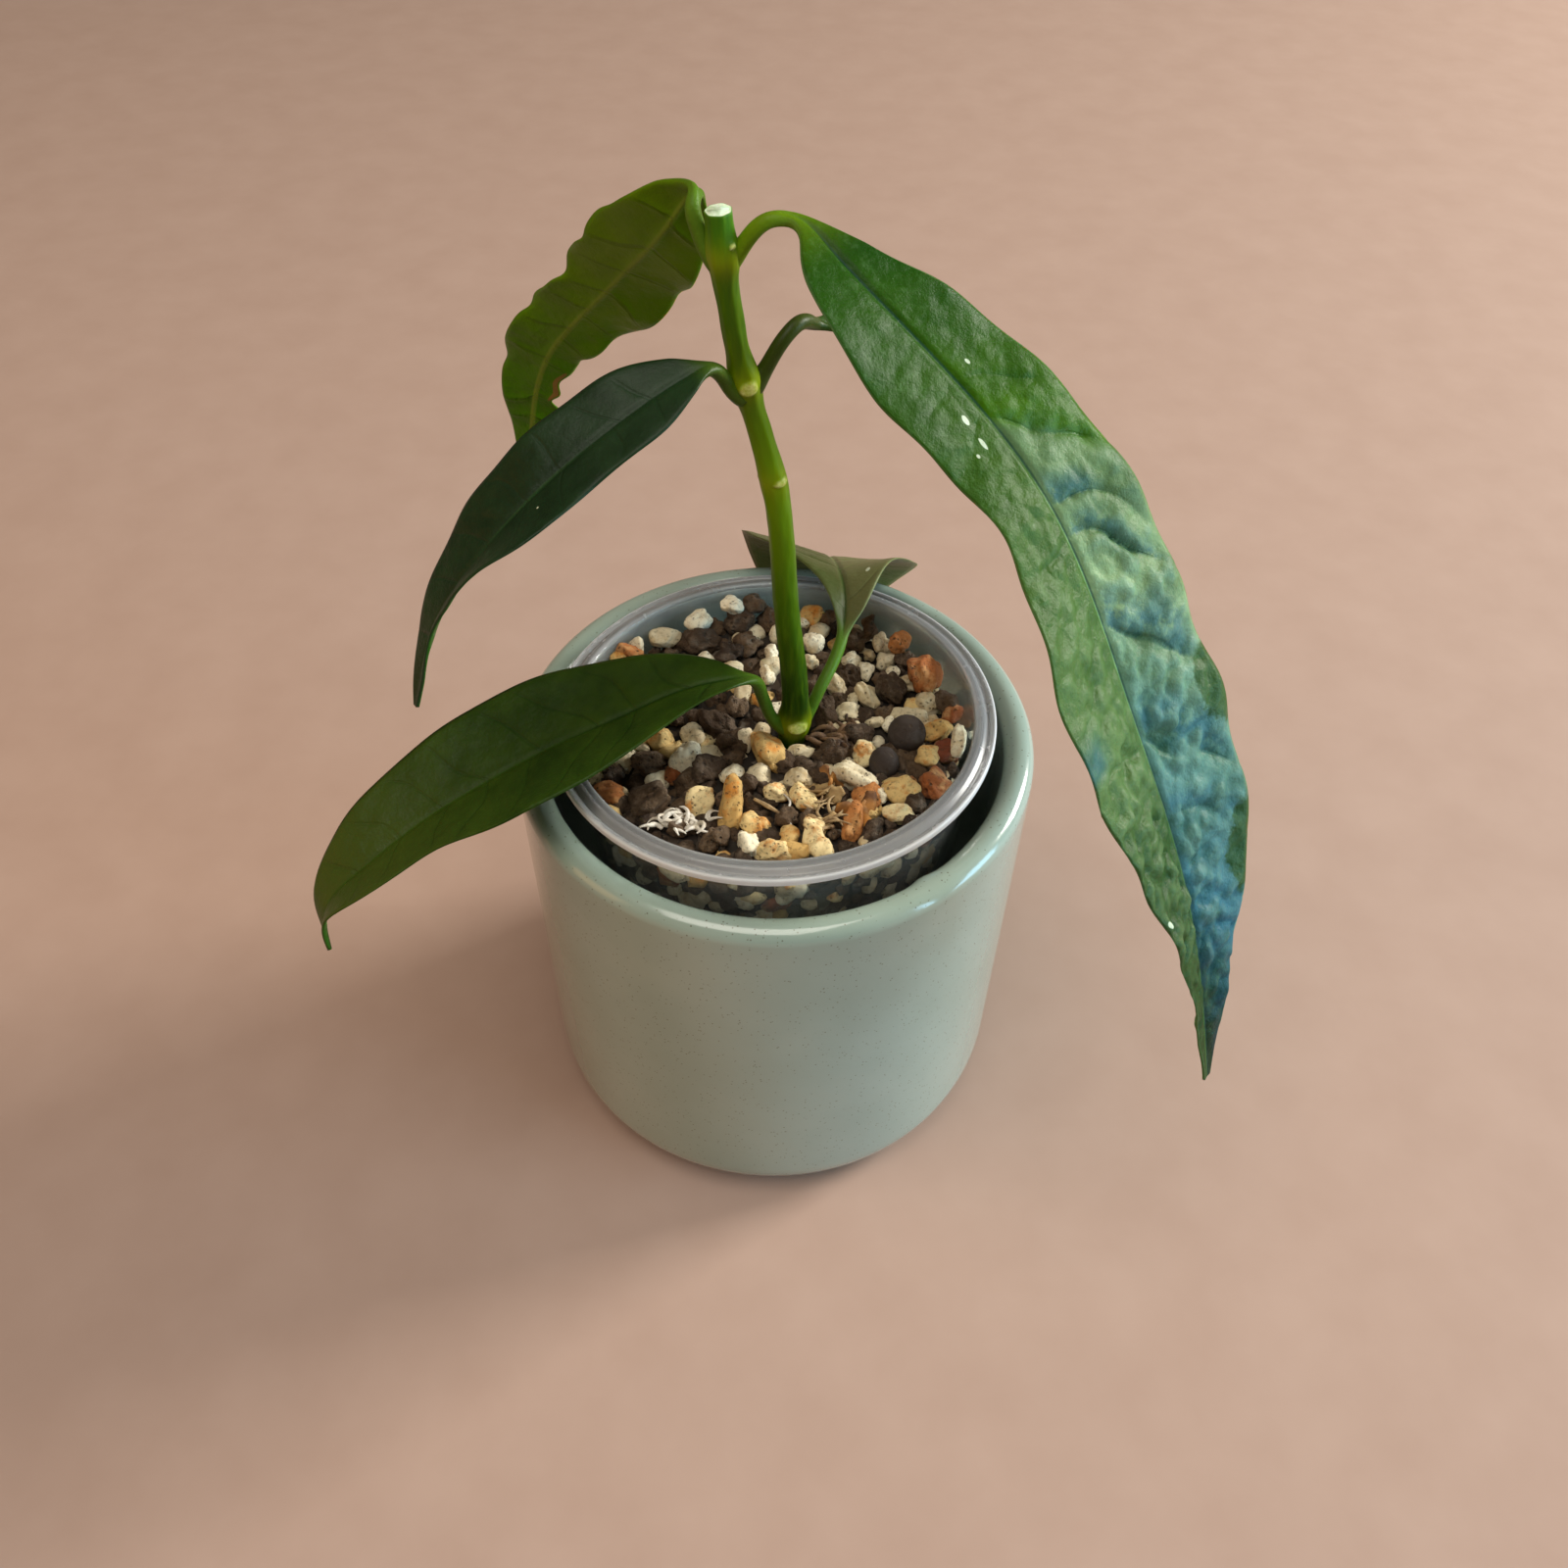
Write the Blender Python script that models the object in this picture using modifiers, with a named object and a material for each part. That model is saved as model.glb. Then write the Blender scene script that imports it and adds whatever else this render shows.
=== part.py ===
"""A potted hoya: a young plant with six leaves in a clear inner pot that stands in a cover pot."""
import math
import random

import bpy
import bmesh
import numpy as np
from mathutils import Matrix, Vector

# Every length below is in metres. The paths of the plant are easier to read in millimetres,
# so they are written in millimetres and multiplied by MM.
MM = 0.001
FIT_GAP = 0.0003

# Cover pot: a turned cylinder with a full-round lip and a flat unglazed foot
POT_RADIUS = 0.0425
POT_HEIGHT = 0.0817
POT_WALL = 0.0050
POT_FLOOR = 0.0060
POT_CORNER = 0.0090
POT_INNER_CORNER = 0.0050
POT_FOOT_RADIUS = 0.0330
POT_FOOT_HEIGHT = 0.0005

# Nursery cup: a thin tapered cup with a stepped flange for a rim. It leans a little in the cover
# pot: its axis goes CUP_LEAN sideways for one up, about the middle of its mouth.
CUP_CENTRE = (-0.0004, -0.0027)
CUP_LEAN = (-0.028, 0.043)
CUP_BASE = 0.0076
CUP_BASE_RADIUS = 0.0265
CUP_MOUTH_RADIUS = 0.0327
CUP_RIM_RADIUS = 0.0355
CUP_WALL = 0.0008
CUP_TOP = 0.0889
CUP_RIM_DROP = 0.0020
CUP_RIM_STEP = 0.0005
CUP_CHAMFER = 0.0015
CUP_RIM_EDGE = 0.0006
CUP_MOUTH_EDGE = 0.0004
DRAIN_HOLE_RADIUS = 0.0027
DRAIN_HOLE_RING = 0.0165
DRAIN_HOLES = 5

# Substrate: a body of grain mix that rises to the back, with its top grains fused on
MIX_TOP = 0.0800
MIX_RISE = 0.0036
MIX_CHAMFER = 0.0022
GRAIN_RADII = (0.0021, 0.0033)
GRAIN_COUNT = 104
GRAIN_SUNK = 0.0006
GRAIN_UNEVEN = 0.0005
GRAIN_SPACING = 0.84
GRAIN_MOST_STRETCH = 1.38
GRAIN_TRIES = 9000
GRAIN_CLEAR_OF_STEM = 0.0048

# Stem: a swept tube, thicker at each leaf node, cut off flat at its top
STEM_PATH = ((2.6, -1.5, 62), (2.6, -1.5, 80), (3.0, -1.4, 84), (1.6, -1.5, 108),
             (-0.4, -1.6, 131), (-4.0, -2.1, 146.5), (-6.6, -2.5, 163), (-7.2, -2.6, 170.8))
STEM_RADII = (2.1, 2.2, 2.2, 1.9, 1.75, 1.55, 1.5, 1.65)
STEM_NODES = ((84.0, 0.7), (131.0, 0.3), (146.5, 0.55), (164.0, 0.75))
STEM_NODE_LENGTH = 2.2
STEM_STRAIGHT_BELOW = 81.0
STEM_HOLE_RADIUS = 0.0028
STEM_HOLE_BOTTOM = 0.0610
STEM_HOLE_DEPTH = 0.0300

# Leaves: thickness of a blade, height of the midrib below it, radius of a petiole, points on
# each face of a section, and the share of the blade over which a petiole turns into it
BLADE_THICKNESS = 0.0007
KEEL = 0.0004
PETIOLE_RADIUS = 0.0010
RING_SIDE = 7
BLADE_START_SHARE = 0.10
BLADE_START_FLAT = 0.35

# Each leaf: the way points of its petiole and of its midrib, the compass direction it faces,
# the half widths of its left and right side, as seen from the stem, its roll and its fold
# (in degrees), all given at even steps along the blade, and the waves of its edge: their
# height, their number and their phase.
LEAVES = {
    "leaf_top_right": dict(
        petiole=((-3.2, -2.3, 164.4), (-2.2, -2.2, 166.6), (-0.8, -1.9, 168.6)),
        blade=((1.0, -1.8, 169.5), (6.0, -5.1, 167.5), (19.3, -12.7, 157.4),
               (32.9, -20.5, 144.2), (45.2, -31.7, 122.1), (57.1, -44.1, 95.4),
               (64.3, -54.4, 66.0)),
        faces=-25, left=(0.8, 9.2, 12.6, 14.8, 15.0, 9.2, 1.0),
        right=(1.2, 10.8, 9.8, 16.6, 15.0, 6.6, 1.0),
        roll=(8, 16, 12, 8, 9), fold=(10, 2, 13, 13, 14), wave=(0.5, 9, 0.0)),
    "leaf_top_left": dict(
        petiole=((-10.0, -1.3, 163.6), (-10.5, -1.0, 166.0), (-10.6, -0.5, 168.9)),
        blade=((-10.1, 0.7, 171.0), (-13.2, 5.8, 165.7), (-19.6, 13.3, 155.4),
               (-26.8, 20.4, 145.0), (-34.4, 26.9, 133.7), (-39.3, 31.8, 119.5),
               (-41.7, 34.5, 103.0)),
        faces=130, left=(0.9, 7.5, 7.3, 6.6, 7.0, 4.2, 0.7),
        right=(0.9, 6.6, 8.7, 7.0, 4.4, 6.4, 0.7),
        roll=(52, 48, 52, 55, 50), fold=(8, 4, 8, 7, 5), wave=(0.7, 6, 0.6)),
    "leaf_mid_left": dict(
        petiole=((-6.6, -4.3, 146.6), (-7.2, -4.6, 148.6)),
        blade=((-8.6, -5.4, 151.6), (-12.0, -7.7, 151.4), (-19.0, -12.1, 148.5),
               (-29.1, -17.8, 142.3), (-36.4, -22.1, 136.0), (-42.2, -25.8, 129.2),
               (-46.9, -30.8, 116.6)),
        faces=211, left=(1.1, 5.4, 5.8, 8.3, 6.8, 3.0, 0.5),
        right=(1.2, 6.2, 7.0, 7.7, 7.4, 4.4, 0.5),
        roll=(-12, -14, 3, 20, 0), fold=(14, 7, 14, 16, 11), wave=(0.2, 5, 0.4)),
    "leaf_mid_right": dict(
        petiole=((-1.2, -0.6, 146.6), (-0.2, 0.6, 149.0), (2.0, 2.8, 151.6)),
        blade=((4.6, 4.8, 152.2), (10.4, 7.6, 149.8), (19.0, 11.6, 142.6),
               (28.0, 15.4, 132.0), (35.5, 18.6, 119.4), (40.5, 20.8, 106.0)),
        faces=24, left=(0.9, 5.6, 7.6, 7.6, 5.6, 3.0, 0.6),
        right=(0.9, 5.6, 7.6, 7.6, 5.6, 3.0, 0.6),
        roll=(0, 0, 0, 0, 0), fold=(14, 10, 10, 8, 8), wave=(0.3, 5, 1.2)),
    "leaf_base_left": dict(
        petiole=((-0.3, -3.4, 85.2), (-1.6, -4.2, 89.2), (-2.3, -5.4, 94.9)),
        blade=((-3.4, -7.2, 99.4), (-12.6, -9.8, 100.1), (-22.1, -12.6, 97.1),
               (-32.6, -15.8, 93.6), (-43.4, -20.0, 89.4), (-53.8, -24.9, 84.8),
               (-62.4, -30.2, 80.0), (-67.6, -34.0, 75.0), (-67.2, -37.7, 70.4)),
        faces=200, left=(1.2, 7.2, 12.0, 13.0, 9.4, 7.0, 0.6),
        right=(1.4, 8.4, 12.2, 13.0, 10.8, 7.8, 0.6),
        roll=(9, 3, 1, -3, 7), fold=(12, 13, 15, 18, 10), wave=(0.15, 5, 0.0)),
    "leaf_base_right": dict(
        petiole=((6.0, 0.9, 85.4), (7.3, 2.4, 88.1), (9.0, 4.9, 90.8)),
        blade=((10.6, 9.4, 93.4), (11.1, 17.3, 95.8), (10.4, 24.2, 94.7),
               (9.8, 31.0, 91.2), (9.2, 37.4, 87.0), (8.8, 43.4, 81.6),
               (8.2, 47.6, 72.0), (7.0, 50.0, 60.0), (6.5, 50.6, 48.0)),
        faces=95, left=(1.0, 5.4, 14.0, 16.4, 12.8, 8.0, 0.7),
        right=(1.0, 7.4, 13.8, 16.2, 12.8, 8.0, 0.7),
        roll=(-2, 7, 14, 7, 2), fold=(34, 13, 5, 7, 8), wave=(0.2, 4, 0.8)),
}
LEAF_STATIONS = {"leaf_top_right": 38, "leaf_base_left": 30}
LEAF_STATIONS_ELSE = 26

COLOURS = {
    "celadon glaze": (0.36, 0.43, 0.36),
    "clear plastic": (0.80, 0.84, 0.83),
    "grain mix": (0.42, 0.34, 0.24),
    "stem green": (0.20, 0.36, 0.04),
    "leaf green": (0.06, 0.20, 0.06),
}


def clear_scene():
    """Removes everything that a new file holds."""
    for thing in list(bpy.data.objects):
        bpy.data.objects.remove(thing, do_unlink=True)
    for mesh in list(bpy.data.meshes):
        bpy.data.meshes.remove(mesh)


def new_collection(name):
    group = bpy.data.collections.new(name)
    bpy.context.scene.collection.children.link(group)
    return group


def material(name, roughness, see_through=False):
    """One Principled material, made once and found again by its name."""
    made = bpy.data.materials.get(name)
    if made:
        return made
    made = bpy.data.materials.new(name)
    made.use_nodes = True
    shader = made.node_tree.nodes["Principled BSDF"]
    shader.inputs["Base Color"].default_value = (*COLOURS[name], 1)
    shader.inputs["Roughness"].default_value = roughness
    if see_through:
        shader.inputs["Alpha"].default_value = 0.35
    made.diffuse_color = (*COLOURS[name], 0.35 if see_through else 1)
    return made


def add_object(name, mesh, group, paint=None):
    thing = bpy.data.objects.new(name, mesh)
    group.objects.link(thing)
    if paint:
        mesh.materials.clear()
        mesh.materials.append(paint)
    return thing


def soften(thing, degrees=35):
    """Smooth shading, kept sharp where two faces meet at more than the angle."""
    mesh = thing.data
    mesh.shade_smooth()
    mesh.set_sharp_from_angle(angle=math.radians(degrees))


def arc(cx, cz, radius, start, end, steps):
    """Points on a quarter or half circle in the X-Z plane, angles in degrees."""
    out = []
    for i in range(steps + 1):
        turn = math.radians(start + (end - start) * i / steps)
        out.append((cx + radius * math.cos(turn), cz + radius * math.sin(turn)))
    return out


def turned(name, profile, group, paint, segments, centre=(0, 0)):
    """Turns a profile about the Z axis with the Screw tool. The profile starts and ends on it."""
    mesh = bpy.data.meshes.new(name)
    points = [(x, 0, z) for x, z in profile]
    edges = [(i, i + 1) for i in range(len(points) - 1)]
    mesh.from_pydata(points, edges, [])
    thing = add_object(name, mesh, group)
    screw = thing.modifiers.new("Turn", "SCREW")
    screw.axis = "Z"
    screw.steps = segments
    screw.render_steps = segments
    screw.use_merge_vertices = True
    screw.merge_threshold = 0.00001
    screw.use_normal_calculate = True
    finish_mesh(thing, paint)
    thing.data.transform(Matrix.Translation((centre[0], centre[1], 0)))
    soften(thing)
    return thing


def finish_mesh(thing, paint):
    """Applies the modifiers of an object, merges doubled points and turns its faces outwards."""
    made = bpy.data.meshes.new_from_object(
        thing.evaluated_get(bpy.context.evaluated_depsgraph_get()))
    work = bmesh.new()
    work.from_mesh(made)
    bmesh.ops.remove_doubles(work, verts=work.verts, dist=0.000002)
    bmesh.ops.recalc_face_normals(work, faces=work.faces)
    work.to_mesh(made)
    work.free()
    made.name = thing.name
    old = thing.data
    thing.modifiers.clear()
    thing.data = made
    bpy.data.meshes.remove(old)
    made.materials.clear()
    made.materials.append(paint)


def build_pot(group):
    """The cover pot: outer wall, round lip, inner wall and floor as one turned profile."""
    lip = POT_WALL / 2
    inner = POT_RADIUS - POT_WALL
    foot = POT_RADIUS - POT_CORNER
    profile = [(0, 0), (POT_FOOT_RADIUS, 0), (foot, POT_FOOT_HEIGHT)]
    profile += arc(foot, POT_FOOT_HEIGHT + POT_CORNER, POT_CORNER, -90, 0, 6)[1:]
    profile += arc(POT_RADIUS - lip, POT_HEIGHT - lip, lip, 0, 180, 8)
    profile += arc(inner - POT_INNER_CORNER, POT_FLOOR + POT_INNER_CORNER, POT_INNER_CORNER,
                   0, -90, 3)
    profile += [(0, POT_FLOOR)]
    return turned("cover_pot", profile[::-1], group, material("celadon glaze", 0.15), 72)


def cup_radius(z):
    """The cup's outer radius at a height, from its straight taper."""
    share = (z - CUP_BASE) / (CUP_TOP - CUP_BASE)
    return CUP_BASE_RADIUS + (CUP_MOUTH_RADIUS - CUP_BASE_RADIUS) * share


def lean(thing):
    """Turns a solid about the middle of the cup's mouth, so that +Z goes along the cup's axis."""
    pivot = Vector((CUP_CENTRE[0], CUP_CENTRE[1], CUP_TOP))
    axis = Vector((CUP_LEAN[0], CUP_LEAN[1], 1)).normalized()
    turn = Vector((0, 0, 1)).rotation_difference(axis).to_matrix().to_4x4()
    thing.data.transform(Matrix.Translation(pivot) @ turn @ Matrix.Translation(-pivot))


def build_cup(group, guides):
    """The clear nursery cup, with its rim turned out and down, and drain holes in its base."""
    base = CUP_BASE
    wall = CUP_WALL
    chamfer = CUP_CHAMFER
    flange = CUP_TOP - wall
    step = CUP_TOP - CUP_RIM_STEP
    low = CUP_TOP - CUP_RIM_DROP
    rim = CUP_RIM_RADIUS
    profile = [(0, base), (cup_radius(base) - chamfer, base), (cup_radius(base), base + chamfer)]
    profile += [(cup_radius(flange), flange), (rim - 2 * wall, flange - CUP_RIM_STEP)]
    profile += [(rim - wall, flange - CUP_RIM_STEP), (rim - wall, low), (rim, low)]
    profile += [(rim, step - CUP_RIM_EDGE), (rim - CUP_RIM_EDGE, step), (rim - 2 * wall, step)]
    profile += [(CUP_MOUTH_RADIUS - wall + CUP_MOUTH_EDGE, CUP_TOP)]
    profile += [(CUP_MOUTH_RADIUS - wall, CUP_TOP - CUP_MOUTH_EDGE)]
    profile += [(cup_radius(base) - wall, base + chamfer)]
    profile += [(cup_radius(base) - wall - chamfer, base + wall), (0, base + wall)]
    cup = turned("nursery_cup", profile[::-1], group, material("clear plastic", 0.1, True), 64,
                 CUP_CENTRE)
    for i in range(DRAIN_HOLES):
        turn = 2 * math.pi * (i + 0.3) / DRAIN_HOLES
        place = (CUP_CENTRE[0] + DRAIN_HOLE_RING * math.cos(turn),
                 CUP_CENTRE[1] + DRAIN_HOLE_RING * math.sin(turn), base)
        bpy.ops.mesh.primitive_cylinder_add(vertices=16, radius=DRAIN_HOLE_RADIUS, depth=0.006,
                                            location=place)
        as_guide(bpy.context.object, "drain_cutter_%d" % i, guides)
        cut(cup, bpy.context.object)
    lean(cup)
    return cup


def as_guide(thing, name, guides):
    """Moves a helper object out of the model and shows it as a wire."""
    thing.name = name
    for group in list(thing.users_collection):
        group.objects.unlink(thing)
    guides.objects.link(thing)
    thing.display_type = "WIRE"
    thing.hide_render = True


def cut(thing, cutter):
    """Takes the cutter's shape out of a solid."""
    boolean = thing.modifiers.new("Cut", "BOOLEAN")
    boolean.operation = "DIFFERENCE"
    boolean.solver = "EXACT"
    boolean.object = cutter
    paint = thing.data.materials[0]
    finish_mesh(thing, paint)
    soften(thing)


def build_grain(name, place, radius, rng, group):
    """One rough grain: a twenty-sided ball, stretched, turned and dented a little."""
    bpy.ops.mesh.primitive_ico_sphere_add(subdivisions=1, radius=radius)
    grain = bpy.context.object
    grain.name = name
    stretch = Vector((rng.uniform(0.85, 1.2), rng.uniform(0.8, 1.1), rng.uniform(0.75, 0.95)))
    turn = Matrix.Rotation(rng.uniform(0, math.tau), 3, "Z") @ Matrix.Rotation(
        rng.uniform(-0.5, 0.5), 3, "X")
    for vert in grain.data.vertices:
        dent = 1 + 0.16 * rng.uniform(-1, 1)
        p = Vector([a * b for a, b in zip(vert.co, stretch)]) * dent
        vert.co = (turn @ p) + Vector(place)
    for owner in list(grain.users_collection):
        owner.objects.unlink(grain)
    group.objects.link(grain)
    return grain


def grain_places(rng):
    """Scatters the top grains by throwing darts: a new grain keeps clear of those before it."""
    reach = cup_radius(MIX_TOP) - CUP_WALL - FIT_GAP
    stem = Vector(STEM_PATH[1][:2]) * MM
    centre = Vector(CUP_CENTRE)
    out = []
    for _ in range(GRAIN_TRIES):
        if len(out) == GRAIN_COUNT:
            break
        radius = rng.uniform(*GRAIN_RADII)
        turn = rng.uniform(0, math.tau)
        far = (reach - radius * GRAIN_MOST_STRETCH) * math.sqrt(rng.random())
        place = centre + Vector((math.cos(turn), math.sin(turn))) * far
        if (place - stem).length < GRAIN_CLEAR_OF_STEM + radius * 0.4:
            continue
        if all((place - other).length > GRAIN_SPACING * (radius + size) for other, size in out):
            out.append((place, radius))
    return out


def mix_top(y):
    """The height of the mix: level in front of the cup's middle, and rising behind it."""
    back = max(0.0, y - CUP_CENTRE[1]) / (cup_radius(MIX_TOP) - CUP_WALL - FIT_GAP)
    return MIX_TOP + MIX_RISE * back


def build_substrate(group, guides):
    """The grain mix: a tapered body in the cup, its top grains fused on, a hole for the stem."""
    rng = random.Random(41)
    bottom = CUP_BASE + CUP_WALL + FIT_GAP
    side = CUP_WALL + FIT_GAP
    profile = [(0, MIX_TOP), (cup_radius(MIX_TOP) - side, MIX_TOP),
               (cup_radius(bottom + MIX_CHAMFER) - side, bottom + MIX_CHAMFER),
               (cup_radius(bottom) - side - MIX_CHAMFER, bottom), (0, bottom)]
    mix = turned("substrate", profile, group, material("grain mix", 0.9), 64, CUP_CENTRE)
    for vert in mix.data.vertices:
        if vert.co.z > MIX_TOP - MIX_CHAMFER:
            vert.co.z = mix_top(vert.co.y)
    heap = new_collection("grains")
    for i, (place, radius) in enumerate(grain_places(rng)):
        high = mix_top(place.y) - GRAIN_SUNK + rng.uniform(-GRAIN_UNEVEN, GRAIN_UNEVEN)
        build_grain("grain_%d" % i, (place.x, place.y, high), radius, rng, heap)
    join = mix.modifiers.new("Fuse", "BOOLEAN")
    join.operation = "UNION"
    join.solver = "EXACT"
    join.operand_type = "COLLECTION"
    join.collection = heap
    paint = mix.data.materials[0]
    finish_mesh(mix, paint)
    for grain in list(heap.objects):
        bpy.data.objects.remove(grain, do_unlink=True)
    bpy.data.collections.remove(heap)
    lean(mix)
    stem = STEM_PATH[1]
    bpy.ops.mesh.primitive_cylinder_add(
        vertices=24, radius=STEM_HOLE_RADIUS, depth=STEM_HOLE_DEPTH,
        location=(stem[0] * MM, stem[1] * MM, STEM_HOLE_BOTTOM + STEM_HOLE_DEPTH / 2))
    as_guide(bpy.context.object, "stem_hole_cutter", guides)
    cut(mix, bpy.context.object)
    keep_largest(mix)
    mix.data.shade_flat()
    return mix


def keep_largest(thing):
    """Drops the loose scraps that a union can leave, and keeps the body with the most faces."""
    work = bmesh.new()
    work.from_mesh(thing.data)
    seen = set()
    parts = []
    for start in work.verts:
        if start in seen:
            continue
        found = [start]
        seen.add(start)
        for vert in found:
            for edge in vert.link_edges:
                other = edge.other_vert(vert)
                if other not in seen:
                    seen.add(other)
                    found.append(other)
        parts.append(found)
    parts.sort(key=len, reverse=True)
    loose = [vert for part in parts[1:] for vert in part]
    bmesh.ops.delete(work, geom=loose, context="VERTS")
    work.to_mesh(thing.data)
    work.free()


def smooth_path(points, count):
    """A smooth curve through the points, as even steps, and each point's share of its length.

    Each coordinate is a natural cubic spline over the straight distance between the points.
    """
    points = np.array(points, float)
    reach = np.concatenate([[0], np.cumsum(np.linalg.norm(np.diff(points, axis=0), axis=1))])
    step = np.diff(reach)
    size = len(points)
    rows = np.eye(size)
    right = np.zeros_like(points)
    for i in range(1, size - 1):
        rows[i, i - 1:i + 2] = step[i - 1], 2 * (step[i - 1] + step[i]), step[i]
        right[i] = 6 * ((points[i + 1] - points[i]) / step[i]
                        - (points[i] - points[i - 1]) / step[i - 1])
    bend = np.linalg.solve(rows, right)
    along = np.linspace(0, reach[-1], 40 * size)
    k = np.clip(np.searchsorted(reach, along) - 1, 0, size - 2)
    after = (reach[k + 1] - along)[:, None]
    before = (along - reach[k])[:, None]
    h = step[k][:, None]
    fine = (bend[k] * after ** 3 + bend[k + 1] * before ** 3) / (6 * h)
    fine += (points[k] / h - bend[k] * h / 6) * after
    fine += (points[k + 1] / h - bend[k + 1] * h / 6) * before
    length = np.concatenate([[0], np.cumsum(np.linalg.norm(np.diff(fine, axis=0), axis=1))])
    even = np.linspace(0, length[-1], count)
    path = np.stack([np.interp(even, length, fine[:, axis]) for axis in range(3)], -1)
    return path, np.interp(reach, along, length) / length[-1]


def eased(values, share):
    """A smooth curve through values at even steps, read at the given shares of the way."""
    steps = len(values)
    points = [(10.0 * i, value, 0.0) for i, value in enumerate(values)]
    path, _ = smooth_path(points, 30 * steps)
    return np.interp(share * 10.0 * (steps - 1), path[:, 0], path[:, 1])


def build_stem(group):
    """The stem: a curve with a radius at every point, swept round and closed at both ends."""
    path, shares = smooth_path(STEM_PATH, 48)
    radii = np.interp(np.linspace(0, 1, len(path)), shares, STEM_RADII)
    for height, swell in STEM_NODES:
        radii = radii + swell * np.exp(-((path[:, 2] - height) / STEM_NODE_LENGTH) ** 2)
    sunk = path[:, 2] < STEM_STRAIGHT_BELOW
    radii = np.where(sunk, np.minimum(radii, STEM_RADII[0]), radii)
    curve = bpy.data.curves.new("stem", "CURVE")
    curve.dimensions = "3D"
    curve.bevel_depth = MM
    curve.bevel_resolution = 2
    curve.use_fill_caps = True
    curve.render_resolution_u = 0
    line = curve.splines.new("POLY")
    line.points.add(len(path) - 1)
    for point, place, radius in zip(line.points, path, radii):
        point.co = (*(place * MM), 1)
        point.radius = radius
    guide = bpy.data.objects.new("stem_sweep", curve)
    bpy.context.scene.collection.objects.link(guide)
    mesh = bpy.data.meshes.new_from_object(
        guide.evaluated_get(bpy.context.evaluated_depsgraph_get()))
    bpy.data.objects.remove(guide, do_unlink=True)
    stem = add_object("stem", mesh, group)
    finish_mesh(stem, material("stem green", 0.4))
    soften(stem)
    return stem


def leaf_rings(plan, count):
    """The sections of a leaf from the stem to the tip, each a ring of 2 x RING_SIDE points.

    The petiole's sections are round. Over a short stretch they turn into the blade's: two
    sides that rise from the midrib by the fold, with a wavy edge, one thickness above another.
    """
    points = plan["petiole"] + plan["blade"]
    path, shares = smooth_path(points, count)
    along = np.linspace(0, 1, count)
    start = shares[len(plan["petiole"])]
    blade = np.clip((along - start) / (1 - start), 0, 1)
    tangent = np.gradient(path, axis=0)
    tangent /= np.linalg.norm(tangent, axis=1, keepdims=True)
    turn = math.radians(plan["faces"])
    level = np.array([-math.sin(turn), math.cos(turn), 0])
    side = level - (tangent @ level)[:, None] * tangent
    side /= np.linalg.norm(side, axis=1, keepdims=True)
    up = np.cross(tangent, side)
    roll = np.radians(eased(plan["roll"], blade))[:, None]
    side, up = np.cos(roll) * side + np.sin(roll) * up, np.cos(roll) * up - np.sin(roll) * side
    fold = np.radians(eased(plan["fold"], blade))
    widths = {1: eased(plan["left"], blade), -1: eased(plan["right"], blade)}
    flat = np.clip((along - start) / (BLADE_START_SHARE * (1 - start)) + BLADE_START_FLAT, 0, 1)
    flat = flat * flat * (3 - 2 * flat)
    height, number, phase = plan["wave"]
    angles = (np.arange(RING_SIDE) + 0.5) / RING_SIDE * math.pi
    across = -np.cos(angles) / math.cos(angles[0])
    half = BLADE_THICKNESS / MM / 2
    tube = PETIOLE_RADIUS / MM
    rings = np.zeros((count, 2 * RING_SIDE, 3))
    for j, (v, angle) in enumerate(zip(across, angles)):
        width = widths[1 if v > 0 else -1] * abs(v)
        ripple = np.sin(math.tau * number * blade + phase + (0 if v > 0 else 2.0))
        rise = np.sin(fold) * width + height * np.sin(math.pi * blade) ** 0.5 * v * v * ripple
        out = math.copysign(1.0, v) * np.cos(fold) * width
        for top, index in ((1, j), (-1, 2 * RING_SIDE - 1 - j)):
            keel = KEEL / MM * (1 - abs(v)) ** 2 * (1 - blade) * (top < 0)
            sheet_out, sheet_up = out, rise + top * half - keel
            round_out = -math.cos(angle) * tube
            round_up = top * math.sin(angle) * tube
            mixed_out = flat * sheet_out + (1 - flat) * round_out
            mixed_up = flat * sheet_up + (1 - flat) * round_up
            rings[:, index] = path + mixed_out[:, None] * side + mixed_up[:, None] * up
    return rings * MM


def build_leaf(name, plan, group):
    """Lofts a leaf through its sections. Both faces of the blade are split the same way."""
    rings = leaf_rings(plan, LEAF_STATIONS.get(name, LEAF_STATIONS_ELSE))
    count, size, _ = rings.shape
    faces = []
    for i in range(count - 1):
        for j in range(size):
            k = (j + 1) % size
            a, b = i * size + j, i * size + k
            c, d = a + size, b + size
            if j < RING_SIDE:
                faces += [(a, b, d), (a, d, c)]
            else:
                faces += [(a, b, c), (b, d, c)]
    faces.append(tuple(range(size))[::-1])
    faces.append(tuple((count - 1) * size + j for j in range(size)))
    mesh = bpy.data.meshes.new(name)
    mesh.from_pydata(rings.reshape(-1, 3).tolist(), [], faces)
    leaf = add_object(name, mesh, group)
    finish_mesh(leaf, material("leaf green", 0.4))
    soften(leaf, 50)
    return leaf


def main():
    clear_scene()
    group = new_collection("potted_hoya")
    guides = new_collection("guides")
    build_pot(group)
    build_cup(group, guides)
    build_substrate(group, guides)
    build_stem(group)
    for name, plan in LEAVES.items():
        build_leaf(name, plan, group)
    for thing in group.objects:
        thing.data.name = thing.name


main()
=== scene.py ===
# %% [markdown]
# # Dressing a potted hoya
#
# A small hoya with long hanging leaves is rooted in a chunky grain mix. The mix fills a clear
# inner pot, and that pot stands in a glazed cover pot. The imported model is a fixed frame: ten
# solids at their true size and place. Every cell below puts a finer surface over one of them.
# A finer surface could be sculpted by hand. Here each one is worked out from a few named
# measures instead, so a reader can change a number and see what it does.

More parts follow.
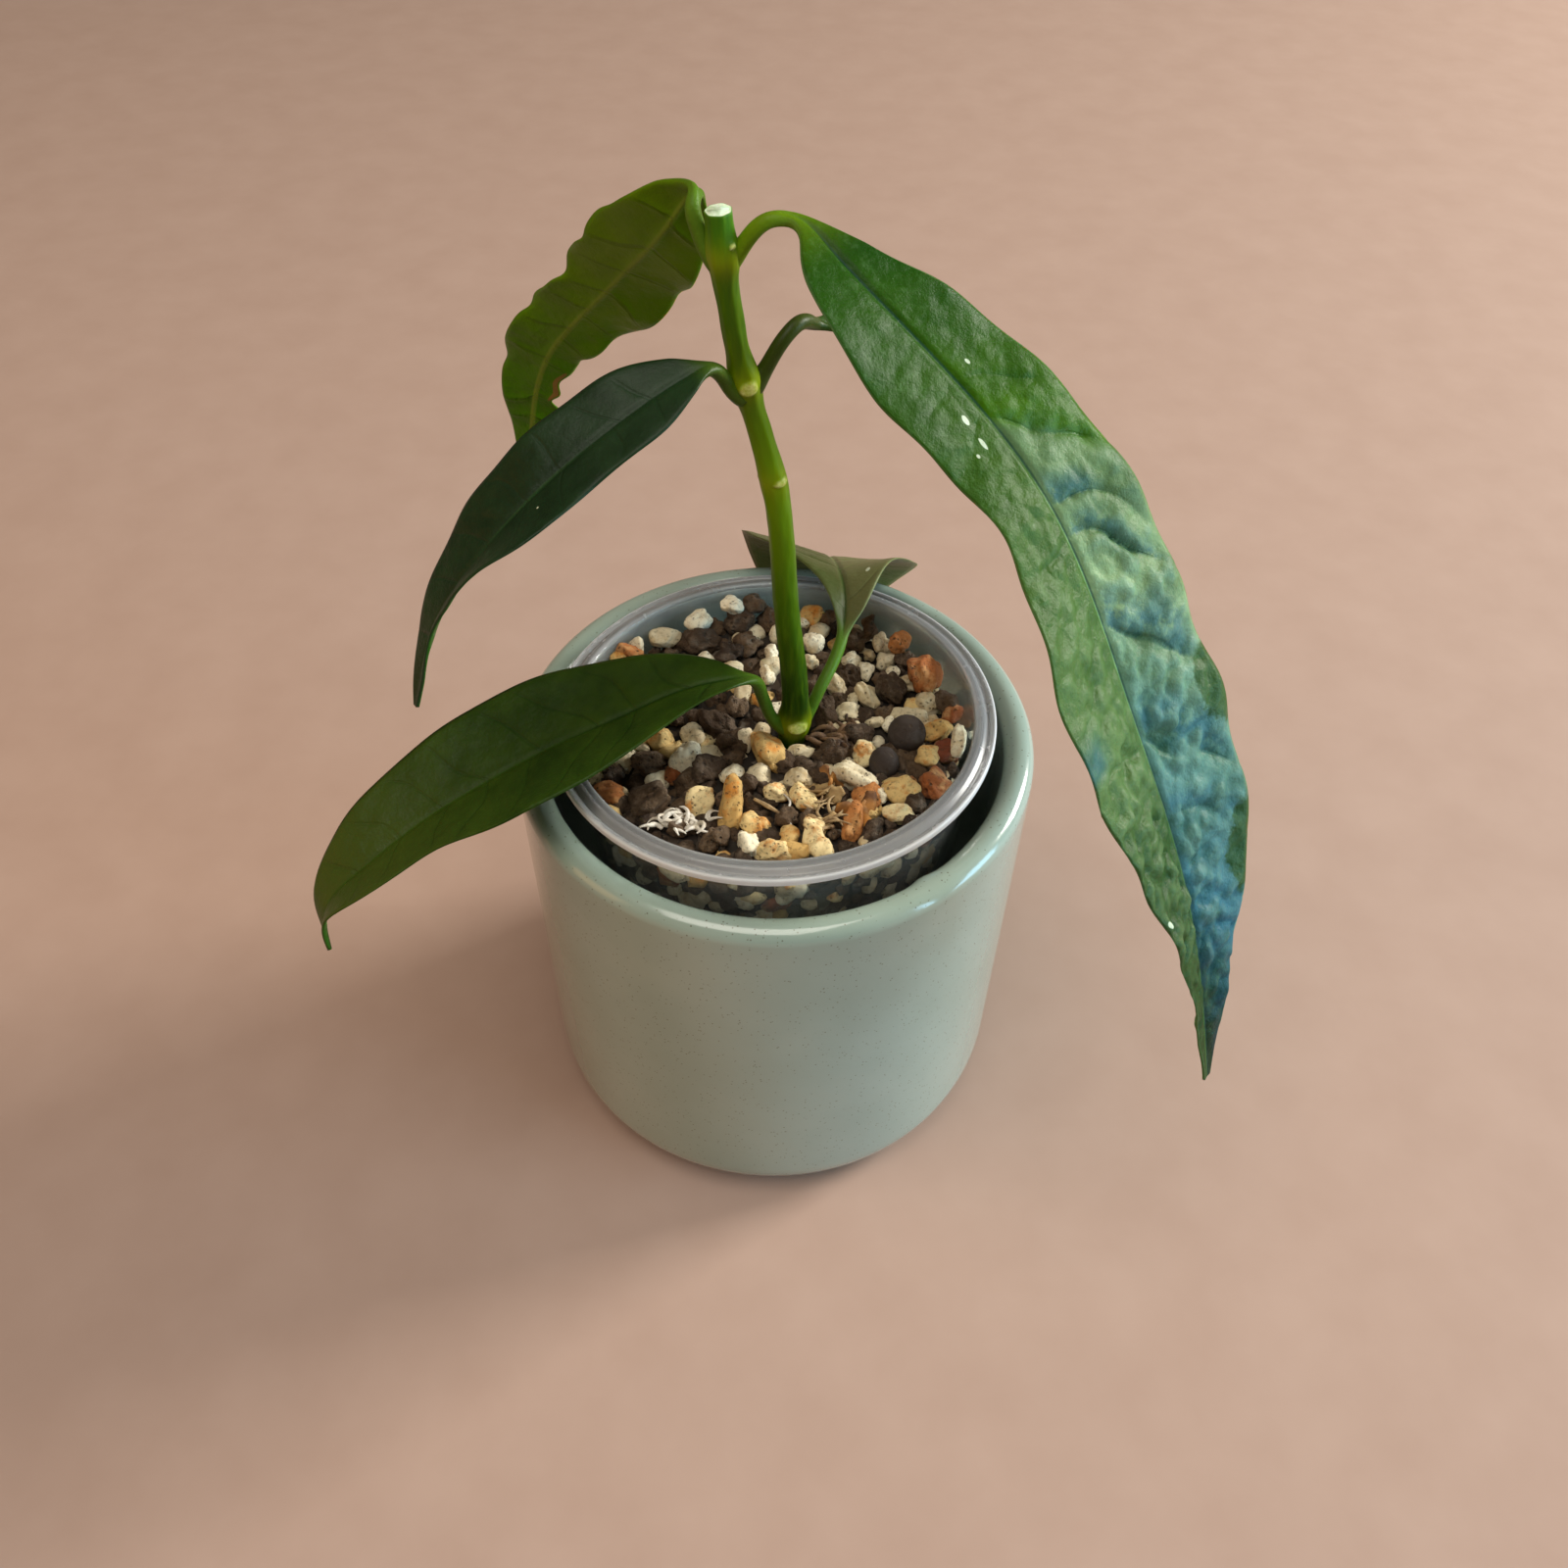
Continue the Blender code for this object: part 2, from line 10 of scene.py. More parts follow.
# %% Load the frame
import math

import bpy
import numpy as np
from mathutils import Matrix


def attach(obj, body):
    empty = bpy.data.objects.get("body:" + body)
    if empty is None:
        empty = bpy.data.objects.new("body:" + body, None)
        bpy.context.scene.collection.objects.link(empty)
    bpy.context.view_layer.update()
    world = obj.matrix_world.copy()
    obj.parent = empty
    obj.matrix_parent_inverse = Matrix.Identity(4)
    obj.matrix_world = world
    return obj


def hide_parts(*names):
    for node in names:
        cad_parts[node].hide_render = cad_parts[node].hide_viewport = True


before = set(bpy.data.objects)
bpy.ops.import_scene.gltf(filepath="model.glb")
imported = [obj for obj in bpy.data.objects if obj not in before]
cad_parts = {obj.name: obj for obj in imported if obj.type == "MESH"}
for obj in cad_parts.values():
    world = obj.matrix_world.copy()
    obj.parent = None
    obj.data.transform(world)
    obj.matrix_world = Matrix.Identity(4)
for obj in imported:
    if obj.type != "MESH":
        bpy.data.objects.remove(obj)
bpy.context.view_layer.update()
MM = 0.001
print("solids:", ", ".join(sorted(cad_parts)))

# %% [markdown]
# ## The camera
#
# The plant is seen from about a hand's length away and from well above the pot. So near, the
# perspective is strong: the pot narrows downwards on the picture although its wall is straight.
# A camera could be turned by eye until it looks right. It is placed here from its distance, its
# height angle and its focal length, which were worked out from the ellipses of pot and rim.

# %% Place the camera
PICTURE_WIDTH = 1600
FOCAL_PIXELS = 1455.0
SENSOR = 36.0
LOOKS_AT = np.array([1.6, 0.0, 67.8]) * MM
CAMERA_DISTANCE = 0.2445
CAMERA_HEIGHT_ANGLE = math.radians(48.3)
CAMERA_ROLL = math.radians(1.0)


def set_axes(thing, axes, place):
    """Turns a thing so that its own X, Y and Z go along three axes, and moves it to a place."""
    rows = [(*row, at) for row, at in zip(np.stack(axes, 1), place)]
    thing.matrix_world = Matrix(rows + [(0, 0, 0, 1)])


def place_camera():
    """The camera looks along minus back, and back = (0, -cos h, sin h) for the height angle h."""
    back = np.array([0, -math.cos(CAMERA_HEIGHT_ANGLE), math.sin(CAMERA_HEIGHT_ANGLE)])
    level = np.array([1.0, 0, 0])
    rise = np.cross(back, level)
    right = math.cos(CAMERA_ROLL) * level + math.sin(CAMERA_ROLL) * rise
    up = math.cos(CAMERA_ROLL) * rise - math.sin(CAMERA_ROLL) * level
    data = bpy.data.cameras.new("camera")
    data.sensor_width = SENSOR
    data.lens = SENSOR * FOCAL_PIXELS / PICTURE_WIDTH
    data.clip_start = 0.01
    made = bpy.data.objects.new("camera", data)
    bpy.context.scene.collection.objects.link(made)
    place = LOOKS_AT + CAMERA_DISTANCE * back
    set_axes(made, (right, up, back), place)
    bpy.context.scene.camera = made
    return place


print("camera at", place_camera().round(3))

# %% [markdown]
# ## Small tools for materials
#
# A finish in Blender is a net of nodes that ends in one Principled shader. Building such a net
# by hand in the editor is quick, but a script has to name each node. These helpers make a node,
# plug sockets or plain values into it, and hand back its result.

# %% Node helpers


def add_node(tree, kind, inputs=(), output=0, **settings):
    """Makes a node. An input is a socket to link or a value to set, by its name or number."""
    made = tree.nodes.new(kind)
    for key, value in settings.items():
        setattr(made, key, value)
    for key, value in dict(inputs).items():
        if isinstance(value, bpy.types.NodeSocket):
            tree.links.new(value, made.inputs[key])
        else:
            made.inputs[key].default_value = value
    return made.outputs[output]


def opaque(value):
    """Three numbers become a colour. A socket stays as it is."""
    return (*value, 1.0) if isinstance(value, tuple) else value


def maths(tree, operation, a, b=0.5, clamp=False):
    return add_node(tree, "ShaderNodeMath", {0: a, 1: b}, operation=operation, use_clamp=clamp)


def times(tree, first, *others, clamp=False):
    """The product of two values or more, multiplied from left to right."""
    for other in others:
        first = maths(tree, "MULTIPLY", first, other, clamp)
    return first


def straight(tree, value, slope, start):
    """The straight line start + slope * value."""
    return add_node(tree, "ShaderNodeMath", {0: value, 1: slope, 2: start},
                    operation="MULTIPLY_ADD")


def blend(tree, share, a, b):
    """Runs from colour a to colour b as the share goes from 0 to 1."""
    return add_node(tree, "ShaderNodeMix", {0: share, 6: opaque(a), 7: opaque(b)}, output=2,
                    data_type="RGBA")


def ramp(tree, share, *stops):
    """A colour for each share, from stops of (share, colour)."""
    made = tree.nodes.new("ShaderNodeValToRGB")
    tree.links.new(share, made.inputs[0])
    points = made.color_ramp.elements
    while len(points) < len(stops):
        points.new(0.5)
    for point, (place, shade) in zip(points, stops):
        point.position = place
        point.color = opaque(shade)
    return made.outputs[0]


def step(tree, value, low, high):
    """Runs smoothly from 0 at low to 1 at high."""
    ends = {"Value": value, "From Min": low, "From Max": high}
    return add_node(tree, "ShaderNodeMapRange", ends, interpolation_type="SMOOTHSTEP")


def attribute(tree, name):
    return add_node(tree, "ShaderNodeAttribute", output=2, attribute_name=name)


def own_place(tree):
    """The object's own coordinates, in metres."""
    return add_node(tree, "ShaderNodeTexCoord", output=3)


def own_height(tree):
    return add_node(tree, "ShaderNodeSeparateXYZ", {0: own_place(tree)}, output=2)


def noise(tree, per_metre, detail=3.0, roughness=0.55, place=None):
    """Cloudy noise on the object's own coordinates, with so many clouds to a metre."""
    return add_node(tree, "ShaderNodeTexNoise", {
        "Vector": place or own_place(tree), "Scale": per_metre, "Detail": detail,
        "Roughness": roughness})


def cells(tree, per_metre, output=0):
    """Random cells: how far each point is from its cell's middle, or (output 1) a colour."""
    return add_node(tree, "ShaderNodeTexVoronoi", {"Vector": own_place(tree), "Scale": per_metre},
                    output=output)


def new_finish(name, **values):
    """A material with one Principled shader, whose plain values are set on its own sockets."""
    made = bpy.data.materials.new(name)
    made.use_nodes = True
    shader = made.node_tree.nodes["Principled BSDF"]
    for key, value in values.items():
        shader.inputs[key.replace("_", " ")].default_value = value
    return made, made.node_tree, shader


def feed(shader, name, value):
    """Links a value or a colour to one of the shader's sockets."""
    shader.id_data.links.new(value, shader.inputs[name])


def relief(tree, shader, height, depth, strength=1.0):
    """Lets a height bend the surface's shading, as if a height of 1 stood out by depth metres."""
    feed(shader, "Normal", add_node(tree, "ShaderNodeBump", {
        "Height": height, "Distance": depth, "Strength": strength}))


print("node helpers ready")

# %% [markdown]
# ## Small tools for surfaces
#
# Each piece is a grid of points, worked out as whole arrays: one number runs along the piece
# and one runs round or across it. Modelling with primitives and loop cuts is the usual way by
# hand. A grid is used here because its points can follow a formula, and because its faces are
# known in advance, so seams and ends are closed for certain.

# %% Surface helpers


def ring_faces(rows, columns):
    """Four-sided faces between rows of points that close round, and a fan at each end.

    Point (i, j) has the number i * columns + j. The two poles come after all the rows.
    """
    i, j = np.meshgrid(np.arange(rows - 1), np.arange(columns), indexing="ij")
    k = (j + 1) % columns
    quads = np.stack([i * columns + j, i * columns + k, (i + 1) * columns + k,
                      (i + 1) * columns + j], -1).reshape(-1, 4)
    j = np.arange(columns)
    k = (j + 1) % columns
    last = (rows - 1) * columns
    first_fan = np.stack([np.full(columns, rows * columns), k, j], -1)
    last_fan = np.stack([np.full(columns, rows * columns + 1), last + j, last + k], -1)
    return [quads, np.concatenate([first_fan, last_fan])]


def outward(points, faces):
    """Turns all faces over if the volume that they enclose comes out negative."""
    volume = 0.0
    for group in faces:
        for n in range(1, group.shape[1] - 1):
            a, b, c = points[group[:, 0]], points[group[:, n]], points[group[:, n + 1]]
            volume += np.einsum("ij,ij->", a, np.cross(b, c))
    return faces if volume > 0 else [group[:, ::-1] for group in faces]


def add_piece(name, points, faces, finish, slot, replaces=(), values=()):
    """Puts arrays into a mesh that rides on the body, with a number per point for each value."""
    faces = outward(points, faces)
    mesh = bpy.data.meshes.new(name)
    mesh.from_pydata(points.tolist(), [], [f for group in faces for f in group.tolist()])
    for key, numbers in dict(values).items():
        layer = mesh.attributes.new(key, "FLOAT", "POINT")
        layer.data.foreach_set("value", np.asarray(numbers, np.float32).ravel())
    mesh.polygons.foreach_set("use_smooth", np.ones(len(mesh.polygons), bool))
    mesh.materials.append(finish)
    made = bpy.data.objects.new(name, mesh)
    bpy.context.scene.collection.objects.link(made)
    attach(made, "root")
    if replaces:
        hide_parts(*replaces)
    print("%s: %d points, %d faces" % (name, len(points), len(mesh.polygons)))
    return made


def turned(profile, columns, centre=(0.0, 0.0), shape=None):
    """Carries a profile round: x = r cos a, y = r sin a. Its first and last point are poles."""
    profile = np.array(profile, float)
    angle = np.arange(columns) / columns * math.tau
    radius = np.repeat(profile[1:-1, :1], columns, 1)
    height = np.repeat(profile[1:-1, 1:], columns, 1)
    if shape is not None:
        radius, height = shape(radius, height, angle)
    ring = np.stack([centre[0] + radius * np.cos(angle), centre[1] + radius * np.sin(angle),
                     height], -1).reshape(-1, 3)
    poles = [(centre[0], centre[1], profile[0, 1]), (centre[0], centre[1], profile[-1, 1])]
    return np.concatenate([ring, poles]), ring_faces(len(profile) - 2, columns)


def arc(x, z, radius, start, end, steps):
    """Points on a circle about (x, z), from the start angle to the end angle in degrees."""
    turn = np.radians(np.linspace(start, end, steps + 1))
    return list(zip(x + radius * np.cos(turn), z + radius * np.sin(turn)))


def line(start, end, steps):
    """Even steps on a straight line, without its first point."""
    share = np.arange(1, steps + 1) / steps
    return [(start[0] + (end[0] - start[0]) * s, start[1] + (end[1] - start[1]) * s)
            for s in share]


def waves(a, b, size, seed, count=10):
    """A smooth random field from about -1 to 1: a sum of sine waves near one wavelength."""
    rng = np.random.default_rng(seed)
    total = np.zeros(np.broadcast(a, b).shape)
    for _ in range(count):
        turn = rng.uniform(0, math.tau)
        pace = math.tau / (size * rng.uniform(0.7, 1.5))
        total = total + np.sin((a * math.cos(turn) + b * math.sin(turn)) * pace
                               + rng.uniform(0, math.tau))
    return total / math.sqrt(count)


print("surface helpers ready")

# %% [markdown]
# ## Floor and light
#
# The plant stands on a plain pale floor. The key panel is at the right and a little behind, so
# the shadows fall to the left. A cool panel low on the right gives the glaze its bluish shine and
# adds to the quilted leaf's, whose blue is also painted into its colour as a painted reflection.
# One overhead fills in, and a weak warm one stands in for the room on the left. Small lamps would
# give hard shadows, so each light is a panel. The picture is shown with the Standard view, since
# the filmic one that Blender starts with turns these greens grey.

# %% Floor, panels and surroundings
floor_finish, tree, shader = new_finish("pale floor", Roughness=0.85)
feed(shader, "Base Color", ramp(tree, noise(tree, 60.0), (0.3, (0.375, 0.252, 0.196)),
                                (0.7, (0.400, 0.274, 0.216))))
FLOOR_HALF = 3.0
floor_mesh = bpy.data.meshes.new("floor")
floor_mesh.from_pydata([(-FLOOR_HALF, -FLOOR_HALF, 0), (FLOOR_HALF, -FLOOR_HALF, 0),
                        (FLOOR_HALF, FLOOR_HALF, 0), (-FLOOR_HALF, FLOOR_HALF, 0)], [],
                       [(0, 1, 2, 3)])
floor_mesh.materials.append(floor_finish)
floor = bpy.data.objects.new("floor", floor_mesh)
bpy.context.scene.collection.objects.link(floor)


def add_panel(name, place, size, power, tint):
    """A square area light that faces the plant."""
    data = bpy.data.lights.new(name, "AREA")
    data.size = size
    data.energy = power
    data.color = tint
    lamp = bpy.data.objects.new(name, data)
    bpy.context.scene.collection.objects.link(lamp)
    back = np.array(place) - np.array(PANELS_AIM_AT)
    back = back / np.linalg.norm(back)
    side = np.cross((0, 0, 1.0), back)
    side = side / np.linalg.norm(side)
    set_axes(lamp, (side, np.cross(back, side), back), place)


PANELS_AIM_AT = (0.0, 0.0, 0.08)
# Each panel: name, place and size in metres, power in watts, tint
PANELS = (("key panel", (1.30, 0.55, 0.66), 0.45, 30.0, (1.0, 0.97, 0.90)),
          ("window panel", (0.95, -0.30, 0.20), 0.60, 10.0, (0.42, 0.75, 1.0)),
          ("overhead panel", (-0.10, -0.30, 1.20), 0.80, 10.0, (1.0, 0.94, 0.85)),
          ("warm panel", (-0.90, -0.25, 0.30), 0.60, 1.6, (1.0, 0.50, 0.16)))
for panel in PANELS:
    add_panel(*panel)
world = bpy.data.worlds.new("soft surroundings")
world.use_nodes = True
surroundings = world.node_tree.nodes["Background"].inputs
surroundings["Color"].default_value = opaque((0.94, 0.77, 0.60))
surroundings["Strength"].default_value = 0.17
bpy.context.scene.world = world
bpy.context.scene.view_settings.view_transform = "Standard"
print("floor and", len(PANELS), "panels")

# %% [markdown]
# ## The cover pot
#
# The cover pot is thrown or cast clay with a sage green glaze: one straight wall, a full round
# lip and a softly rounded foot. The glaze shows fine dark specks of iron, pools a little darker
# in places, and stops short of the foot, where the bare clay is pale. The profile below is
# carried round, and slow waves of a tenth of a millimetre keep it from looking machine made.

# %% Glaze and bare clay
POT_RADIUS = 0.0425
POT_HEIGHT = 0.0817
POT_WALL = 0.0050
POT_FLOOR = 0.0060
POT_CORNER = 0.0090
POT_INNER_CORNER = 0.0050
POT_FOOT_RADIUS = 0.0330
POT_FOOT_HEIGHT = 0.0005
GLAZE_ENDS = 0.0016
BARE_ROUGHNESS = 0.80
GLAZE_RUN_AT = math.radians(307)


def glaze_finish():
    made, tree, shader = new_finish("celadon glaze", IOR=1.5, Coat_Weight=0.5, Coat_Roughness=0.06)
    glaze = ramp(tree, noise(tree, 28.0, 3.0), (0.30, (0.255, 0.330, 0.272)),
                 (0.55, (0.290, 0.368, 0.310)), (0.80, (0.335, 0.408, 0.345)))
    specks = times(tree, step(tree, cells(tree, 1250.0), 0.20, 0.13),
                   step(tree, noise(tree, 700.0, 1.0), 0.44, 0.54), clamp=True)
    glaze = blend(tree, times(tree, specks, 0.70), glaze, (0.08, 0.06, 0.03))
    bare = ramp(tree, noise(tree, 700.0), (0.3, (0.50, 0.44, 0.35)), (0.7, (0.62, 0.56, 0.46)))
    glazed = step(tree, own_height(tree), GLAZE_ENDS - 0.0002, GLAZE_ENDS + 0.0002)
    feed(shader, "Base Color", blend(tree, glazed, bare, glaze))
    feed(shader, "Roughness", straight(tree, glazed, -0.62, BARE_ROUGHNESS))
    relief(tree, shader, noise(tree, 160.0, 4.0), 0.0002, 0.5)
    return made


def pot_unevenness(radius, height, angle):
    """Slow waves round the wall, and one small run of glaze on the lip's inner side."""
    share = np.clip(height / POT_HEIGHT, 0, 1)
    radius = radius + share * 0.12 * MM * np.sin(2 * angle + 0.6) \
        + 0.05 * MM * np.sin(5 * angle + 30 * height)
    bump = np.exp(-((angle - GLAZE_RUN_AT) / 0.05) ** 2)
    on_lip = np.exp(-((height - POT_HEIGHT + 0.0012) / 0.0012) ** 2) * (radius < 0.0405)
    return radius - 0.5 * MM * bump * on_lip, height


def pot_profile():
    lip = POT_WALL / 2
    inner = POT_RADIUS - POT_WALL
    foot = POT_RADIUS - POT_CORNER
    points = [(0, 0)] + line((0, 0), (POT_FOOT_RADIUS - 0.0002, 0), 8)
    points += arc(foot, POT_FOOT_HEIGHT + POT_CORNER, POT_CORNER, -90, 0, 16)
    points += line((POT_RADIUS, POT_FOOT_HEIGHT + POT_CORNER), (POT_RADIUS, POT_HEIGHT - lip), 30)
    points += arc(POT_RADIUS - lip, POT_HEIGHT - lip, lip, 0, 180, 20)[1:]
    points += line((inner, POT_HEIGHT - lip), (inner, POT_FLOOR + POT_INNER_CORNER), 24)
    points += arc(inner - POT_INNER_CORNER, POT_FLOOR + POT_INNER_CORNER, POT_INNER_CORNER,
                  0, -90, 8)[1:]
    return points + line((inner - POT_INNER_CORNER, POT_FLOOR), (0, POT_FLOOR), 6)


add_piece("glazed_cover_pot", *turned(pot_profile(), 192, shape=pot_unevenness), glaze_finish(),
          "celadon_glaze", ["cover_pot"])

# %% [markdown]
# ## The clear inner pot
#
# The inner pot is pressed from thin clear plastic: a tapered cup whose rim turns outwards into a
# stepped flange. It leans a little in the cover pot. Its edges are what the eye catches, because
# they gather the light into two bright rings, so the flange gets properly rounded edges. The two
# rings are also painted pale and hazy in the plastic, a painted highlight. Real clear plastic is
# all transmission. A wall as thin as this hardly bends the light.

# %% The cup's lean, profile and plastic
CUP_CENTRE = np.array([-0.0004, -0.0027])
CUP_LEAN = (-0.028, 0.043)
CUP_BASE = 0.0076
CUP_BASE_RADIUS = 0.0265
CUP_MOUTH_RADIUS = 0.0327
CUP_RIM_RADIUS = 0.0355
CUP_WALL = 0.0008
CUP_TOP = 0.0889
CUP_RIM_DROP = 0.0020
DRAIN_HOLE_RADIUS = 0.0027
DRAIN_HOLE_RING = 0.0165
DRAIN_HOLES = 5
FLANGE_FROM = 0.085


def lean(points):
    """Turns points about the middle of the cup's mouth, so that +Z goes along the cup's axis.

    For the axis n and the upright z, a turn by the angle between them is
    p + v x p + v x (v x p) / (1 + c), with v = z x n and c = z . n.
    """
    pivot = np.array([*CUP_CENTRE, CUP_TOP])
    axis = np.array([*CUP_LEAN, 1.0])
    axis = axis / np.linalg.norm(axis)
    v = np.cross((0, 0, 1.0), axis)
    p = points - pivot
    once = np.cross(v, p)
    return pivot + p + once + np.cross(v, once) / (1 + axis[2])


def cup_radius(z):
    share = (z - CUP_BASE) / (CUP_TOP - CUP_BASE)
    return CUP_BASE_RADIUS + (CUP_MOUTH_RADIUS - CUP_BASE_RADIUS) * share


def plastic_finish():
    """Clear where the haze is low, milky on the flange, with a painted highlight on its two rings.
    """
    made, tree, shader = new_finish("clear plastic", IOR=1.38)
    haze = attribute(tree, "haze")
    # Painted highlight: the two rings at the flange's edges turn pale white
    milky = blend(tree, attribute(tree, "painted_rings"), (0.46, 0.47, 0.48), (0.92, 0.94, 0.95))
    feed(shader, "Base Color", blend(tree, step(tree, haze, 0.04, 0.26), (0.88, 0.92, 0.92), milky))
    feed(shader, "Transmission Weight", straight(tree, haze, -1.0, 1.0))
    scuffs = step(tree, noise(tree, 300.0, 3.0), 0.45, 0.75)
    feed(shader, "Roughness", maths(tree, "ADD", straight(tree, haze, 0.6, 0.01),
                                    times(tree, scuffs, 0.06)))
    relief(tree, shader, noise(tree, 60.0, 1.0), 0.0001, 0.2)
    return made


def cup_profile():
    """Up the outside from the middle of the base, over the stepped flange, and down the inside."""
    wall = CUP_WALL
    base = CUP_BASE
    rim = CUP_RIM_RADIUS
    low = CUP_TOP - CUP_RIM_DROP
    under = CUP_TOP - wall
    mouth = CUP_MOUTH_RADIUS - wall
    corner, fillet, bead = 0.0015, 0.0006, 0.0004
    points = [(0, base)] + line((0, base), (cup_radius(base) - corner, base), 6)
    points += arc(cup_radius(base) - corner, base + corner, corner, -90, -5, 5)[1:]
    points += line((cup_radius(base), base + corner),
                   (cup_radius(under - fillet), under - fillet), 24)
    points += arc(cup_radius(under) + fillet, under - fillet, fillet, 180, 90, 5)[1:]
    points += [(rim - 0.0017, under - 0.0003), (rim - 0.0012, under - 0.0006),
               (rim - wall, under - 0.0009)]
    points += arc(rim - wall / 2, low + wall / 2, wall / 2, 180, 360, 8)
    points += arc(rim - bead, CUP_TOP - 0.0006 - bead, bead, 0, 90, 5)
    points += [(rim - 0.0009, CUP_TOP - 0.0006), (rim - 0.0012, CUP_TOP - 0.0009),
               (rim - 0.0015, CUP_TOP - 0.0008), (rim - 0.0018, CUP_TOP - 0.0003),
               (rim - 0.0021, CUP_TOP - 0.0002), (mouth + 0.0008, CUP_TOP)]
    points += arc(mouth + bead, CUP_TOP - bead, bead, 90, 180, 5)
    points += line((mouth, CUP_TOP - bead), (cup_radius(base) - wall, base + corner), 26)
    points += arc(cup_radius(base) - wall - 0.0008, base + wall + 0.0007, 0.0007, 0, -90, 4)[1:]
    return points + line((cup_radius(base) - wall - 0.0008, base + wall), (0, base + wall), 6)


def add_cup():
    """The turned cup, with its drain holes cut by five short rods that are removed again."""
    points, faces = turned(cup_profile(), 192, CUP_CENTRE)
    far_out = np.hypot(points[:, 0] - CUP_CENTRE[0], points[:, 1] - CUP_CENTRE[1])
    rim = np.clip((far_out - cup_radius(points[:, 2]) + 0.0004) / 0.0006, 0, 1)
    high = points[:, 2] > FLANGE_FROM
    # Painted highlight: two thin rings at the flange's edges, made hazier and paler in the finish
    painted_rings = sum(np.exp(-((far_out - at) / 0.00028) ** 2)
                for at in (CUP_MOUTH_RADIUS - 0.0005, CUP_RIM_RADIUS - 0.0001))
    cup = add_piece("clear_inner_pot", points, faces, plastic_finish(), "clear_plastic",
                    ["nursery_cup"], {"haze": 0.04 + (0.34 * rim + 0.22 * painted_rings) * high,
                                      "painted_rings": painted_rings * high})
    rods = []
    for i in range(DRAIN_HOLES):
        turn = math.tau * (i + 0.3) / DRAIN_HOLES
        bpy.ops.mesh.primitive_cylinder_add(
            vertices=40, radius=DRAIN_HOLE_RADIUS, depth=0.006,
            location=(CUP_CENTRE[0] + DRAIN_HOLE_RING * math.cos(turn),
                      CUP_CENTRE[1] + DRAIN_HOLE_RING * math.sin(turn), CUP_BASE))
        rods.append(bpy.context.object)
        hole = cup.modifiers.new("drain hole", "BOOLEAN")
        hole.object = rods[-1]
        hole.solver = "EXACT"
    cut = bpy.data.meshes.new_from_object(
        cup.evaluated_get(bpy.context.evaluated_depsgraph_get()))
    cup.modifiers.clear()
    whole = cup.data
    cup.data = cut
    bpy.data.meshes.remove(whole)
    for rod in rods:
        bpy.data.objects.remove(rod, do_unlink=True)
    flat = np.zeros(len(cut.vertices) * 3)
    cut.vertices.foreach_get("co", flat)
    cut.vertices.foreach_set("co", lean(flat.reshape(-1, 3)).ravel())
    cut.set_sharp_from_angle(angle=math.radians(50))
    cut.name = cup.name


add_cup()

# %% [markdown]
# ## The grain mix
#
# Hoyas like an airy mix. This one is pumice, some of it stained yellow or rust by iron, with
# porous dark lumps, red lava and a few smooth clay balls. Below the top it is one bed, painted
# nearly black as painted shade for the gaps between the grains. The grains that show are stones
# of their own: each is a ball whose radius is cut down by a handful of random planes, then
# roughened. Scanned stones would be the usual way in a studio.

# %% The bed under the top grains
MIX_TOP = 0.0800
MIX_RISE = 0.0036
FIT_GAP = 0.0003
MIX_REACH = cup_radius(MIX_TOP) - CUP_WALL - FIT_GAP
CRUMB_LIFT, CRUMB_SIZE = 0.5 * MM, 2.2
BED_SINKS, BED_CLEARS_CUP = 0.6 * MM, 1.6 * MM


def mix_top(y):
    """The mix is level in front of the cup's middle and rises evenly behind it."""
    return MIX_TOP + MIX_RISE * np.clip((y - CUP_CENTRE[1]) / MIX_REACH, 0, None)


def bed_finish():
    made, tree, shader = new_finish("bed in painted gap shade", Roughness=0.95)
    grey = add_node(tree, "ShaderNodeSeparateColor", {0: cells(tree, 420.0, output=1)})
    # Painted shade: the bed is nearly black, so that the gaps between the grains look shaded
    feed(shader, "Base Color", ramp(
        tree, grey, (0.0, (0.010, 0.008, 0.006)), (0.55, (0.035, 0.024, 0.015)),
        (0.80, (0.085, 0.060, 0.040)), (1.0, (0.20, 0.17, 0.13))))
    relief(tree, shader, cells(tree, 420.0), 0.001, 1.0)
    return made


def bed_shape(radius, height, angle):
    """The bed's top follows the rise, and its crumbs lift and sink by half a millimetre."""
    top = height > MIX_TOP - 0.0001
    y = CUP_CENTRE[1] + radius * np.sin(angle)
    x = radius * np.cos(angle)
    crumbs = CRUMB_LIFT * waves(x / MM, y / MM, CRUMB_SIZE, 3) * (radius < MIX_REACH - 0.0008)
    height = np.where(top, mix_top(y) + crumbs - BED_SINKS, height)
    return np.maximum(radius - BED_CLEARS_CUP, 0.9 * radius), height


bed_bottom = CUP_BASE + CUP_WALL + FIT_GAP
bed_foot = cup_radius(bed_bottom) - CUP_WALL - FIT_GAP - 0.0022
bed_profile = [(0, bed_bottom)] + line((0, bed_bottom), (bed_foot, bed_bottom), 4)
bed_profile += line((bed_foot, bed_bottom), (bed_foot + 0.0020, bed_bottom + 0.0022), 3)
bed_profile += line(bed_profile[-1], (MIX_REACH, MIX_TOP), 40)
bed_profile += line((MIX_REACH, MIX_TOP), (0, MIX_TOP), 30)
points, faces = turned(bed_profile, 128, CUP_CENTRE, bed_shape)
add_piece("dark_bed", lean(points), faces, bed_finish(), "grain_mix", ["substrate"])

# %% [markdown]
# A grain in numbers: a ball of 80, 320 or 1,280 faces. For a direction d and planes with normals
# n and distances h, the radius is (sum of (max(d.n, 0) / h) ^ p) ^ (-1/p). A high p gives sharp
# edges, a low one gives a worn pebble.

# %% Grain shapes


